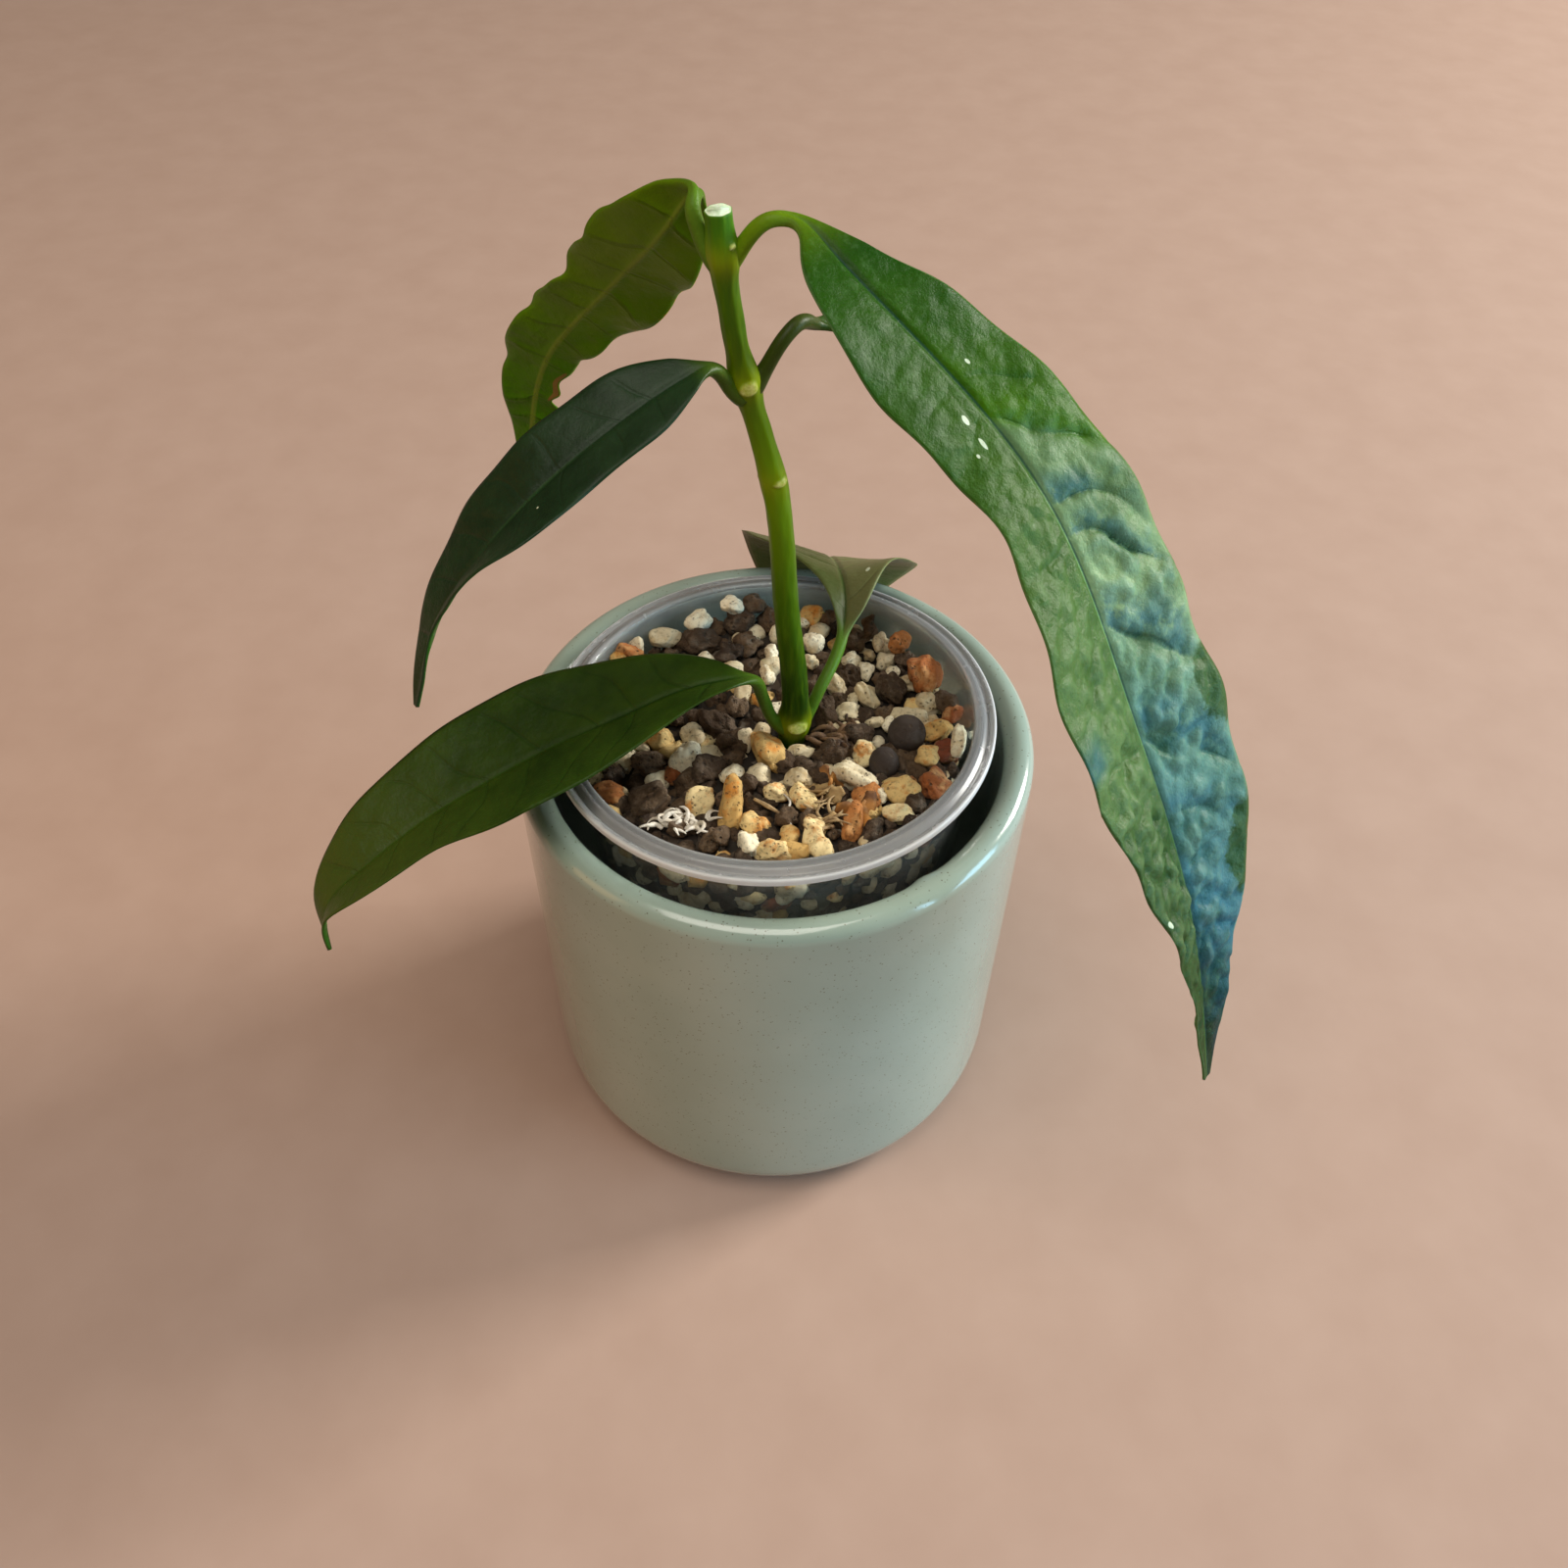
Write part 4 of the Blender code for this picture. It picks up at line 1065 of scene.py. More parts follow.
# %% [markdown]
# ## The stem
#
# The stem is green and slightly ribbed, thicker at each leaf node, and cut off flat at its top,
# where the pale pith shows. Below it a few leaves have dropped and left round, pale scars. The
# scars could be separate discs. They are raised in the stem's own skin here, because on the
# plant they are the stem's skin.

# %% The stem's form
STEM_PATH = ((2.6, -1.5, 62), (2.6, -1.5, 80), (3.0, -1.4, 84), (1.6, -1.5, 108),
             (-0.4, -1.6, 131), (-4.0, -2.1, 146.5), (-6.6, -2.5, 163), (-7.2, -2.6, 170.8))
STEM_RADII = (2.1, 2.2, 2.2, 1.9, 1.75, 1.55, 1.5, 1.65)
STEM_NODES = ((85.3, 0.6), (132.6, 0.2), (148.0, 0.55), (165.2, 0.55))
STEM_NODE_LENGTH = 2.8
COLLAR_LENGTH = 2.0
# Below this height the stem stands in the mix, and is no thicker than this
STEM_IN_MIX, STEM_IN_MIX_RADIUS = 80, 2.15
SCAR_HEIGHT, SCAR_RIM = 0.22, 0.14
# Each scar: height, direction round the stem in degrees, half width, half height (mm), paleness
SCARS = ((85.7, -78, 1.5, 1.1, 1.0), (147.9, -74, 1.1, 0.9, 0.95), (132.6, -48, 1.1, 0.5, 0.9),
         (167.0, -46, 0.35, 0.35, 1.0), (132.8, 130, 1.2, 0.45, 0.7))


def stem_surface():
    """The radius is the sum of a taper, a swelling at each node, ribs and the scars; the collars
    only mark the nodes for the finish.
    """
    path, shares = smooth_path(STEM_PATH, 420)
    radius = np.interp(np.linspace(0, 1, len(path)), shares, STEM_RADII)
    collar = np.zeros(len(path))
    for height, swell in STEM_NODES:
        radius = radius + swell * np.exp(-((path[:, 2] - height) / STEM_NODE_LENGTH) ** 2)
        collar = collar + np.exp(-((path[:, 2] - height) / COLLAR_LENGTH) ** 2)
    buried = path[:, 2] < STEM_IN_MIX
    radius = np.where(buried, np.minimum(radius, STEM_IN_MIX_RADIUS), radius)
    marks = {}

    def skin(wide, path, angle, side, up):
        z = path[:, 2:3] + 0 * angle
        heading = side[:, None] * np.cos(angle)[None, :, None] \
            + up[:, None] * np.sin(angle)[None, :, None]
        turn = np.arctan2(heading[..., 1], heading[..., 0])
        scar = np.zeros_like(z)
        rim = np.zeros_like(z)
        for height, towards, half_w, half_h, pale in SCARS:
            off = (turn - math.radians(towards) + math.pi) % math.tau - math.pi
            far = np.sqrt((off * wide / half_w) ** 2 + ((z - height) / half_h) ** 2)
            scar = np.maximum(scar, pale * np.clip((1.15 - far) / 0.3, 0, 1))
            rim = np.maximum(rim, np.exp(-((far - 1.0) / 0.22) ** 2))
        ribs = 0.03 * np.sin(turn * 7 + z * 0.10) + 0.04 * waves(turn * wide, z * 0.25, 1.6, 5)
        marks["scar"], marks["node"] = scar, np.repeat(collar[:, None], len(angle), 1)
        return wide + ribs * (1 - scar) + SCAR_HEIGHT * scar + SCAR_RIM * rim

    way = path[-1] - path[-2]
    way /= np.linalg.norm(way)
    path = np.concatenate([path, path[-1] + way * np.array([[0.05], [0.08], [0.06], [0.03]])])
    radius = np.concatenate([radius, radius[-1] * np.array([0.97, 0.90, 0.70, 0.35])])
    collar = np.concatenate([collar, np.zeros(4)])
    points, faces = tube(path, radius, 48, skin)
    marks["cut"] = np.zeros_like(marks["scar"])
    marks["cut"][-3:] = 1.0
    ends = {"scar": (0, 0), "node": (0, 0), "cut": (0, 1)}
    values = {key: np.concatenate([marks[key].ravel(), ends[key]]) for key in marks}
    return points * MM, faces, values


def stem_finish():
    made, tree, shader = new_finish("stem skin", Roughness=0.42, Specular_IOR_Level=0.12,
                                    Subsurface_Weight=0.10, Subsurface_Scale=0.001)
    # Painted light and shade along the height: darkest at the foot by the mix, brightest at
    # mid-height
    green = ramp(tree, step(tree, own_height(tree), 0.080, 0.172), (0.0, (0.006, 0.026, 0.0)),
                 (0.25, (0.050, 0.125, 0.0)), (0.6, (0.160, 0.300, 0.0)),
                 (0.88, (0.056, 0.115, 0.0)), (1.0, (0.048, 0.150, 0.003)))
    stretched = add_node(tree, "ShaderNodeMapping", {"Vector": own_place(tree),
                                                     "Scale": (1.0, 1.0, 0.12)})
    streaks = step(tree, noise(tree, 1400.0, 3.0, place=stretched), 0.40, 0.70)
    green = blend(tree, times(tree, streaks, 0.20), green, (0.170, 0.290, 0.0))
    green = blend(tree, times(tree, attribute(tree, "node"), 0.55, clamp=True), green,
                  (0.260, 0.320, 0.002))
    pale = ramp(tree, noise(tree, 1800.0), (0.35, (0.42, 0.50, 0.05)), (0.65, (0.68, 0.72, 0.24)))
    green = blend(tree, attribute(tree, "scar"), green, pale)
    pith = ramp(tree, noise(tree, 1500.0), (0.35, (0.50, 0.66, 0.42)), (0.65, (0.72, 0.82, 0.62)))
    feed(shader, "Base Color", blend(tree, attribute(tree, "cut"), green, pith))
    relief(tree, shader, noise(tree, 2500.0, 2.0, place=stretched), 0.0001, 0.5)
    return made


points, faces, values = stem_surface()
add_piece("hoya_stem", points, faces, stem_finish(), "stem_green", ["stem"], values)

# %% [markdown]
# ## The leaves
#
# A hoya leaf is thick and waxy, and a round petiole turns into its midrib. A leaf could be
# sculpted from a plane. Here each one is a line of points from stem to tip, with half widths, a
# roll and a fold at even steps along it, so that one formula serves all six. Each blade has the
# measures of its solid. Its petiole is placed a little differently, since here it runs on into
# the stem, while the solids stop about half a millimetre short of it.

# %% The leaves' measures, with root as a point inside the stem
LEAVES = {
    "leaf_top_right": dict(
        root=(-6.6, -2.5, 163.9),
        petiole=((-5.1, -2.4, 165.5), (-3.5, -2.3, 167.7), (-1.5, -2.1, 169.4)),
        blade=((1.0, -1.8, 169.5), (6.0, -5.1, 167.5), (19.3, -12.7, 157.4),
               (32.9, -20.5, 144.2), (45.2, -31.7, 122.1), (57.1, -44.1, 95.4),
               (64.3, -54.4, 66.0)),
        faces=-25, left=(0.8, 9.2, 12.6, 14.8, 15.0, 9.2, 1.0),
        right=(1.2, 10.8, 9.8, 16.6, 15.0, 6.6, 1.0),
        roll=(8, 16, 12, 8, 9), fold=(10, 2, 13, 13, 14), wave=(0.5, 9, 0.0)),
    "leaf_top_left": dict(
        root=(-7.2, -2.4, 164.0),
        petiole=((-8.9, -1.9, 166.0), (-9.8, -1.4, 168.1), (-10.3, -0.6, 170.2)),
        blade=((-10.1, 0.7, 171.0), (-13.2, 5.8, 165.7), (-19.6, 13.3, 155.4),
               (-26.8, 20.4, 145.0), (-34.4, 26.9, 133.7), (-39.3, 31.8, 119.5),
               (-41.7, 34.5, 103.0)),
        faces=130, left=(0.9, 7.5, 7.3, 6.6, 7.0, 4.2, 0.7),
        right=(0.9, 6.6, 8.7, 7.0, 4.4, 6.4, 0.7),
        roll=(52, 48, 52, 55, 50), fold=(8, 4, 8, 7, 5), wave=(0.7, 6, 0.6)),
    "leaf_mid_left": dict(
        root=(-4.5, -2.6, 146.0),
        petiole=((-6.0, -3.2, 147.5), (-7.2, -4.0, 149.8)),
        blade=((-8.6, -5.4, 151.6), (-12.0, -7.7, 151.4), (-19.0, -12.1, 148.5),
               (-29.1, -17.8, 142.3), (-36.4, -22.1, 136.0), (-42.2, -25.8, 129.2),
               (-46.9, -30.8, 116.6)),
        faces=211, left=(1.1, 5.4, 5.8, 8.3, 6.8, 3.0, 0.5),
        right=(1.2, 6.2, 7.0, 7.7, 7.4, 4.4, 0.5),
        roll=(-12, -14, 3, 20, 0), fold=(14, 7, 14, 16, 11), wave=(0.2, 5, 0.4)),
    "leaf_mid_right": dict(
        root=(-3.5, -2.0, 146.7),
        petiole=((-1.8, -1.2, 149.0), (0.0, -0.4, 152.0), (2.3, 1.6, 153.9)),
        blade=((4.6, 4.8, 152.2), (10.4, 7.6, 149.8), (19.0, 11.6, 142.6),
               (28.0, 15.4, 132.0), (35.5, 18.6, 119.4), (40.5, 20.8, 106.0)),
        faces=24, left=(0.9, 5.6, 7.6, 7.6, 5.6, 3.0, 0.6),
        right=(0.9, 5.6, 7.6, 7.6, 5.6, 3.0, 0.6),
        roll=(0, 0, 0, 0, 0), fold=(14, 10, 10, 8, 8), wave=(0.3, 5, 1.2)),
    "leaf_base_left": dict(
        root=(1.7, -2.0, 83.9),
        petiole=((-0.2, -2.6, 86.2), (-1.4, -3.4, 90.0), (-2.3, -4.9, 95.0)),
        blade=((-3.4, -7.2, 99.4), (-12.6, -9.8, 100.1), (-22.1, -12.6, 97.1),
               (-32.6, -15.8, 93.6), (-43.4, -20.0, 89.4), (-53.8, -24.9, 84.8),
               (-62.4, -30.2, 80.0), (-67.6, -34.0, 75.0), (-67.2, -37.7, 70.4)),
        faces=200, left=(1.2, 7.2, 12.0, 13.0, 9.4, 7.0, 0.6),
        right=(1.4, 8.4, 12.2, 13.0, 10.8, 7.8, 0.6),
        roll=(9, 3, 1, -3, 7), fold=(12, 13, 15, 18, 10), wave=(0.15, 5, 0.0)),
    "leaf_base_right": dict(
        root=(4.0, -0.7, 83.8),
        petiole=((5.6, 0.4, 85.9), (7.0, 1.9, 88.6), (8.8, 4.7, 91.0)),
        blade=((10.6, 9.4, 93.4), (11.1, 17.3, 95.8), (10.4, 24.2, 94.7),
               (9.8, 31.0, 91.2), (9.2, 37.4, 87.0), (8.8, 43.4, 81.6),
               (8.2, 47.6, 72.0), (7.0, 50.0, 60.0), (6.5, 50.6, 48.0)),
        faces=95, left=(1.0, 5.4, 14.0, 16.4, 12.8, 8.0, 0.7),
        right=(1.0, 7.4, 13.8, 16.2, 12.8, 8.0, 0.7),
        roll=(-2, 7, 14, 7, 2), fold=(34, 13, 5, 7, 8), wave=(0.2, 4, 0.8)),
}
BLADE_HALF = 0.27
PETIOLE_RADIUS = 1.0
BLADE_START_SHARE = 0.10
BLADE_START_FLAT = 0.35
GROOVE_HALF = 0.50
KEEL_HALF = 0.9
print("leaves:", ", ".join(LEAVES))

# %% [markdown]
# Side veins leave the midrib, run outwards and bend to the tip, and the blade is quilted between
# them. The long leaf's are placed one by one, because its pillows catch the light. On the other
# leaves they stand at nearly even steps, which is enough where they show less.

# %% The side veins of each leaf
# How far a side vein leans to the tip, in mm for each mm outwards: each half, at base and tip
VEIN_LEAN = {"leaf_top_right": ((0.60, 0.66), (0.60, -0.60))}
EVEN_LEAN = ((0.60, 0.60), (0.60, 0.60))
VEIN_CURVE = 0.012
PAST_VEINS = 12


def even_veins(length, pitch, depth, seed):
    """Roots of side veins at nearly even steps, with their valley depths."""
    rng = np.random.default_rng(seed)
    roots = np.arange(0.10 * length, 0.97 * length, pitch)
    roots = roots + rng.uniform(-0.16, 0.16, len(roots)) * pitch
    return tuple(zip(roots, depth * rng.uniform(0.6, 1.3, len(roots))))


# For each half of a leaf: how far along the midrib a side vein leaves it, and its valley's depth
LEAF_VEINS = {
    "leaf_top_right": (
        ((11.5, 0.05), (21.4, 0.14), (29.6, 0.20), (37.2, 0.30), (45.7, 1.25), (55.4, 0.80),
         (61.4, 1.05), (73.2, 1.15), (91.0, 1.15), (100.5, 0.45), (107.0, 0.10), (114.0, 0.22),
         (120.5, 0.20), (129.0, 0.12), (137.5, 0.05)),
        ((9.0, 0.05), (16.6, 0.16), (27.7, 0.20), (36.7, 0.16), (44.2, 0.24), (52.3, 0.16),
         (60.7, 0.26), (69.1, 0.20), (79.1, 0.42), (90.9, 1.00), (100.7, 0.35), (107.0, 0.35),
         (113.5, 0.30), (121.3, 0.20), (129.0, 0.10), (137.0, 0.03))),
    "leaf_top_left": (even_veins(95, 7.5, 0.40, 31), even_veins(95, 7.5, 0.40, 32)),
    "leaf_mid_left": (even_veins(72, 7.0, 0.10, 33), even_veins(72, 7.0, 0.10, 34)),
    "leaf_mid_right": (even_veins(66, 7.0, 0.25, 35), even_veins(66, 7.0, 0.25, 36)),
    "leaf_base_left": (even_veins(92, 8.5, 0.16, 37), even_veins(92, 8.5, 0.20, 38)),
    "leaf_base_right": (even_veins(72, 8.0, 0.25, 39), even_veins(72, 8.0, 0.25, 40)),
}
# Crinkle between the veins on each half and the groove over the midrib, in mm, and how much
# the second half's crinkle grows to the tip
LEAF_CRINKLE = {
    "leaf_top_right": (0.34, 0.26, 0.38, 0.5), "leaf_top_left": (0.10, 0.10, 0.30, 0.0),
    "leaf_mid_left": (0.05, 0.05, 0.22, 0.0), "leaf_mid_right": (0.05, 0.05, 0.25, 0.0),
    "leaf_base_left": (0.04, 0.05, 0.25, 0.0), "leaf_base_right": (0.06, 0.06, 0.30, 0.0),
}
# How far and over what length the side veins wander, and the sizes of the crinkle's waves, in mm
VEINS_WANDER, WANDER_LENGTH = 1.3, 16.0
CRINKLE_COARSE, CRINKLE_FOLDED, CRINKLE_FINE = 5.2, 5.0, 2.2
# Bites and waves of an edge: side (1 or -1), place along the blade, half length, depth (share)
EDGE_MARKS = {
    "leaf_top_left": ((1, 0.40, 0.025, 0.16), (1, 0.55, 0.02, 0.10), (1, 0.27, 0.02, 0.06),
                      (-1, 0.69, 0.022, 0.32), (-1, 0.745, 0.028, 0.50),
                      (-1, 0.50, 0.03, 0.10), (-1, 0.60, 0.02, 0.08), (1, 0.16, 0.03, 0.05),
                      (1, 0.70, 0.02, 0.10), (-1, 0.30, 0.03, 0.06)),
}
# An edge that stands up or hangs down: side, place along the blade, half length, height in mm
EDGE_LOBES = {"leaf_top_right": ((1, 0.742, 0.045, 1.0), (1, 0.49, 0.05, -0.9))}


def side_veins(run, across, rows, lean):
    """The number of the side vein at each point, and the depth of its valley.

    A point's place is first carried back along its vein to the midrib, by lean * w + curve *
    w ^ 2 at w mm out. There the number is read between the roots: whole on a vein.
    """
    rows = ((rows[0][0] - PAST_VEINS, 0.0), *rows, (rows[-1][0] + PAST_VEINS, 0.0))
    roots, depths = np.array(rows).T
    steps = np.arange(len(roots))
    slant = lean[0] + (lean[1] - lean[0]) * run / run.max()
    back = run - slant * across - VEIN_CURVE * across ** 2
    number = np.interp(back, roots, steps)
    return number, np.interp(number, steps, depths)


print("side veins:", sum(len(side) for leaf in LEAF_VEINS.values() for side in leaf))

# %% [markdown]
# All six leaves are the same two-way grid: u runs along the blade to its tip, and v from one edge
# to the other. The relief is added to it in millimetres: pillows between the veins, a groove over
# the midrib, and a crinkle. Bump in the finish would be quicker, but only real relief changes the
# outline and casts shadows.

# %% The leaf grid


def leaf_surface(name, stations, columns):
    """A point is path + out * side + rise * up, for u along the midrib and v across, -1 to 1.

    out is the half width times v. rise is the fold, the wave of the edge and the relief, plus
    or minus half the thickness, which goes to nothing at the edge. Over the first stretch the
    flat section turns into the petiole's round one.
    """
    plan = LEAVES[name]
    line_points = (plan["root"],) + plan["petiole"] + plan["blade"]
    path, shares = smooth_path(line_points, stations)
    along = np.linspace(0, 1, stations)
    start = shares[len(plan["petiole"]) + 1]
    length = np.linalg.norm(np.diff(path, axis=0), axis=1).sum()
    blade = np.clip((along - start) / (1 - start), 0, 1)
    way = np.gradient(path, axis=0)
    way /= np.linalg.norm(way, axis=1, keepdims=True)
    turn = math.radians(plan["faces"])
    level = np.array([-math.sin(turn), math.cos(turn), 0])
    side = level - (way @ level)[:, None] * way
    side /= np.linalg.norm(side, axis=1, keepdims=True)
    up = np.cross(way, side)
    roll = np.radians(eased(plan["roll"], blade))[:, None]
    side, up = np.cos(roll) * side + np.sin(roll) * up, np.cos(roll) * up - np.sin(roll) * side
    fold = np.radians(eased(plan["fold"], blade))[:, None]
    flat = np.clip((along - start) / (BLADE_START_SHARE * (1 - start)) + BLADE_START_FLAT, 0, 1)
    flat = (flat * flat * (3 - 2 * flat))[:, None]

    even = np.linspace(-1, 1, columns)
    v = (0.5 * even + 0.5 * even ** 3)[None, :]
    left = v > 0
    u = blade[:, None]
    width = np.where(left, *(eased(plan[half], blade)[:, None] for half in ("left", "right")))
    for half, place, long, deep in EDGE_MARKS.get(name, ()):
        width = width * (1 - deep * np.exp(-((u - place) / long) ** 2) * (left == (half > 0)))
    across = width * np.abs(v)
    height, number, phase = plan["wave"]
    ripple = np.sin(math.tau * number * u + phase + np.where(left, 0, 2.0))
    bent = np.sqrt(across ** 2 + 0.3) - math.sqrt(0.3)
    rise = np.sin(fold) * bent + height * np.sin(math.pi * u) ** 0.5 * v * v * ripple
    for half, place, long, high in EDGE_LOBES.get(name, ()):
        outer = np.clip((np.abs(v) - 0.55) / 0.45, 0, 1) ** 2 * (left == (half > 0))
        rise = rise + high * outer * np.exp(-((u - place) / long) ** 2)

    run = (along * length)[:, None] + 0 * v
    sheet = across * np.where(left, 1, -1)
    drift = VEINS_WANDER * waves(run, sheet, WANDER_LENGTH, len(name))
    rows = [side_veins(run + drift, across, half, slant)
            for half, slant in zip(LEAF_VEINS[name], VEIN_LEAN.get(name, EVEN_LEAN))]
    vein, depth = (np.where(left, a, b) for a, b in zip(*rows))
    depth = depth * np.clip(0.80 + 0.5 * waves(run, sheet, 13.0, 40 + len(name)), 0.2, 1.3)
    between = np.abs(np.sin(math.pi * vein))
    body = 1 - 0.85 * np.clip((np.abs(v) - 0.60) / 0.38, 0, 1) ** 2
    body = np.clip(np.abs(v) / 0.22, 0, 1) * body
    bumps = depth * (0.70 * between ** 0.65 - 0.35 - 0.45 * (1 - between) ** 6) * body
    rough_left, rough_right, groove_depth, growth = LEAF_CRINKLE[name]
    rough = np.where(left, rough_left, rough_right) * (0.25 + 0.75 * np.clip(u / 0.35 - 0.6, 0, 1))
    rough = rough * np.where(left, 1.0, 1.0 + growth * np.clip(u / 0.15 - 3.4, 0, 1))
    inner = np.clip(np.abs(v) / 0.16, 0, 1) * np.clip((1 - np.abs(v)) / 0.12, 0, 1)
    inner = inner * np.clip(width / 7.0 - 0.15, 0, 1)
    crinkle = rough * (0.8 * waves(run, sheet, CRINKLE_COARSE, 50 + len(name))
                       + 0.9 * np.abs(waves(run, sheet, CRINKLE_FOLDED, 55 + len(name)))
                       + 0.35 * waves(run, sheet, CRINKLE_FINE, 60 + len(name)) - 0.5) * inner
    fade = np.clip(u / 0.10, 0, 1) * np.clip((1 - u) / 0.08, 0, 1)
    surface = fade * (bumps + crinkle)
    groove = groove_depth * np.exp(-(across / GROOVE_HALF) ** 2) * np.clip((1 - u) / 0.2, 0, 1)
    keel = (0.15 + groove) * np.exp(-(across / KEEL_HALF) ** 2) * (1 - u)
    thick = BLADE_HALF * np.sqrt(1 - v ** 10)
    stalk = PETIOLE_RADIUS * (1 + 0.5 * np.exp(-(run / 2.2) ** 2))
    round_rise = stalk * np.sqrt(np.clip(1 - v ** 2, 0, 1))
    sign = np.where(left, 1.0, -1.0)
    out = flat * sign * np.cos(fold) * across + (1 - flat) * v * stalk
    top = flat * (rise + surface + thick - groove) + (1 - flat) * round_rise
    low = flat * (rise + surface - thick - keel) - (1 - flat) * round_rise

    sheets = path[:, None] + out[..., None] * side[:, None]
    upper, lower = (sheets + rise[..., None] * up[:, None] for rise in (top, low))
    inside = slice(columns - 2, 0, -1)
    ring = np.concatenate([upper, lower[:, inside]], 1)
    # The slope of each pillow that gets the long leaf's painted reflection of the window
    grids = {"vein": vein, "valley": depth * (1 - between) ** 3 * body, "across": across,
             "painted_reflection_slope": np.clip((vein % 1.0 - 0.40) / 0.40, 0, 1) * np.clip(depth / 0.5, 0, 1)
             * np.clip(np.abs(v) / 0.06, 0, 1) * np.clip((1 - np.abs(v)) / 0.2, 0, 1),
             "crest": np.clip(crinkle / np.maximum(rough, 0.01) + 0.2, 0, 1) * inner,
             "edge": width - across, "u": u + 0 * v, "v": v + 0 * u, "stalk": 1 - flat + 0 * v}
    values = {key: np.concatenate([grid, grid[:, inside]], 1) for key, grid in grids.items()}
    values["under"] = np.concatenate([np.zeros_like(upper[..., 0]),
                                      np.ones_like(upper[:, inside, 0])], 1)
    points = np.concatenate([ring.reshape(-1, 3), path[:1], path[-1:]])
    for key, grid in values.items():
        values[key] = np.concatenate([grid.ravel(), grid[0, :1], grid[-1, :1]])
    return points * MM, ring_faces(stations, ring.shape[1]), values


print("leaf grid ready")

# %% [markdown]
# The colours of a leaf are mixed from what each point knows about itself: how far it is from the
# midrib, how near a side vein, which face it is on, and how much of a stalk it still is. A
# painted picture could be wrapped round the leaf, but it would blur at the edges and show the
# same marks from near and far.
# Part of it is painted light: shade in the valleys and creases, a highlight on the margins, and on
# the long leaf a painted sheen and a painted reflection of the window.

# %% Leaf colours
LEAF_COLOURS = {
    "leaf_top_right": dict(dark=(0.010, 0.045, 0.001), light=(0.060, 0.130, 0.020),
                           under=(0.070, 0.180, 0.006), rib=(0.160, 0.300, 0.110),
                           vein=(0.012, 0.050, 0.006), stalk=(0.120, 0.210, 0.004), sheen=0.0),
    "leaf_top_left": dict(dark=(0.030, 0.090, 0.0), light=(0.060, 0.135, 0.0),
                          under=(0.105, 0.205, 0.0), rib=(0.130, 0.200, 0.012),
                          vein=(0.040, 0.075, 0.001), stalk=(0.080, 0.160, 0.010), sheen=0.0),
    "leaf_mid_left": dict(dark=(0.005, 0.017, 0.004), light=(0.011, 0.032, 0.009),
                          under=(0.050, 0.100, 0.010), rib=(0.020, 0.055, 0.016),
                          vein=(0.008, 0.026, 0.008), stalk=(0.055, 0.110, 0.006), sheen=0.15),
    "leaf_mid_right": dict(dark=(0.010, 0.040, 0.004), light=(0.022, 0.070, 0.008),
                           under=(0.050, 0.110, 0.010), rib=(0.050, 0.120, 0.015),
                           vein=(0.012, 0.045, 0.005), stalk=(0.035, 0.055, 0.004), sheen=0.2),
    "leaf_base_left": dict(dark=(0.013, 0.036, 0.001), light=(0.028, 0.062, 0.003),
                           under=(0.050, 0.110, 0.010), rib=(0.024, 0.062, 0.006),
                           vein=(0.008, 0.030, 0.002), stalk=(0.060, 0.130, 0.008), sheen=0.1),
    "leaf_base_right": dict(dark=(0.045, 0.060, 0.012), light=(0.070, 0.082, 0.024),
                            under=(0.110, 0.130, 0.050), rib=(0.160, 0.220, 0.080),
                            vein=(0.050, 0.090, 0.020), stalk=(0.080, 0.170, 0.012), sheen=0.1),
}
# The long leaf from base to tip: a fresh green that turns grey green on its left half and
# silvery blue on its right half. The grey green is a painted sheen, and the silvery blue a
# painted sheen and a painted reflection of the cool window light
LONG_LEAF_LEFT = ((0.00, (0.006, 0.042, 0.0)), (0.30, (0.032, 0.084, 0.004)),
                  (0.58, (0.066, 0.128, 0.034)), (0.68, (0.024, 0.064, 0.014)),
                  (0.86, (0.010, 0.036, 0.005)), (1.00, (0.004, 0.024, 0.002)))
LONG_LEAF_RIGHT = ((0.00, (0.006, 0.042, 0.0)), (0.14, (0.020, 0.070, 0.0)),
                   (0.242, (0.044, 0.125, 0.0)), (0.260, (0.100, 0.175, 0.068)),
                   (0.42, (0.205, 0.310, 0.150)), (0.55, (0.105, 0.220, 0.160)),
                   (0.76, (0.026, 0.110, 0.145)), (0.86, (0.004, 0.030, 0.038)),
                   (0.93, (0.002, 0.014, 0.006)))
# Painted reflection of the cool window, laid on the slopes that face it
PAINTED_SKY_REFLECTION = (0.014, 0.090, 0.130)
# Painted shade on the long leaf's turned edge lobes
LOBE_PAINTED_SHADE = (0.018, 0.056, 0.001)
# Painted shade on one wall of the long leaf's midrib groove
RIB_PAINTED_SHADE = (0.008, 0.040, 0.030)
# Painted sheen on the crinkle's crests, for the left and the right half
CREST_PAINTED_SHEEN = ((0.105, 0.180, 0.066), (0.120, 0.235, 0.180))
FLECK_WHITE = (0.55, 0.62, 0.45)
BITE_BROWN = (0.220, 0.110, 0.030)
# A tint that comes in along u or v: the value, from where to where, its share and colour
LEAF_TINTS = {"leaf_base_left": ("u", 0.45, 0.85, 0.75, (0.048, 0.072, 0.007)),
              # On this leaf the tint is a painted greyish sheen on the half with v < 0
              "leaf_base_right": ("v", 0.06, -0.06, 0.8, (0.150, 0.160, 0.062))}
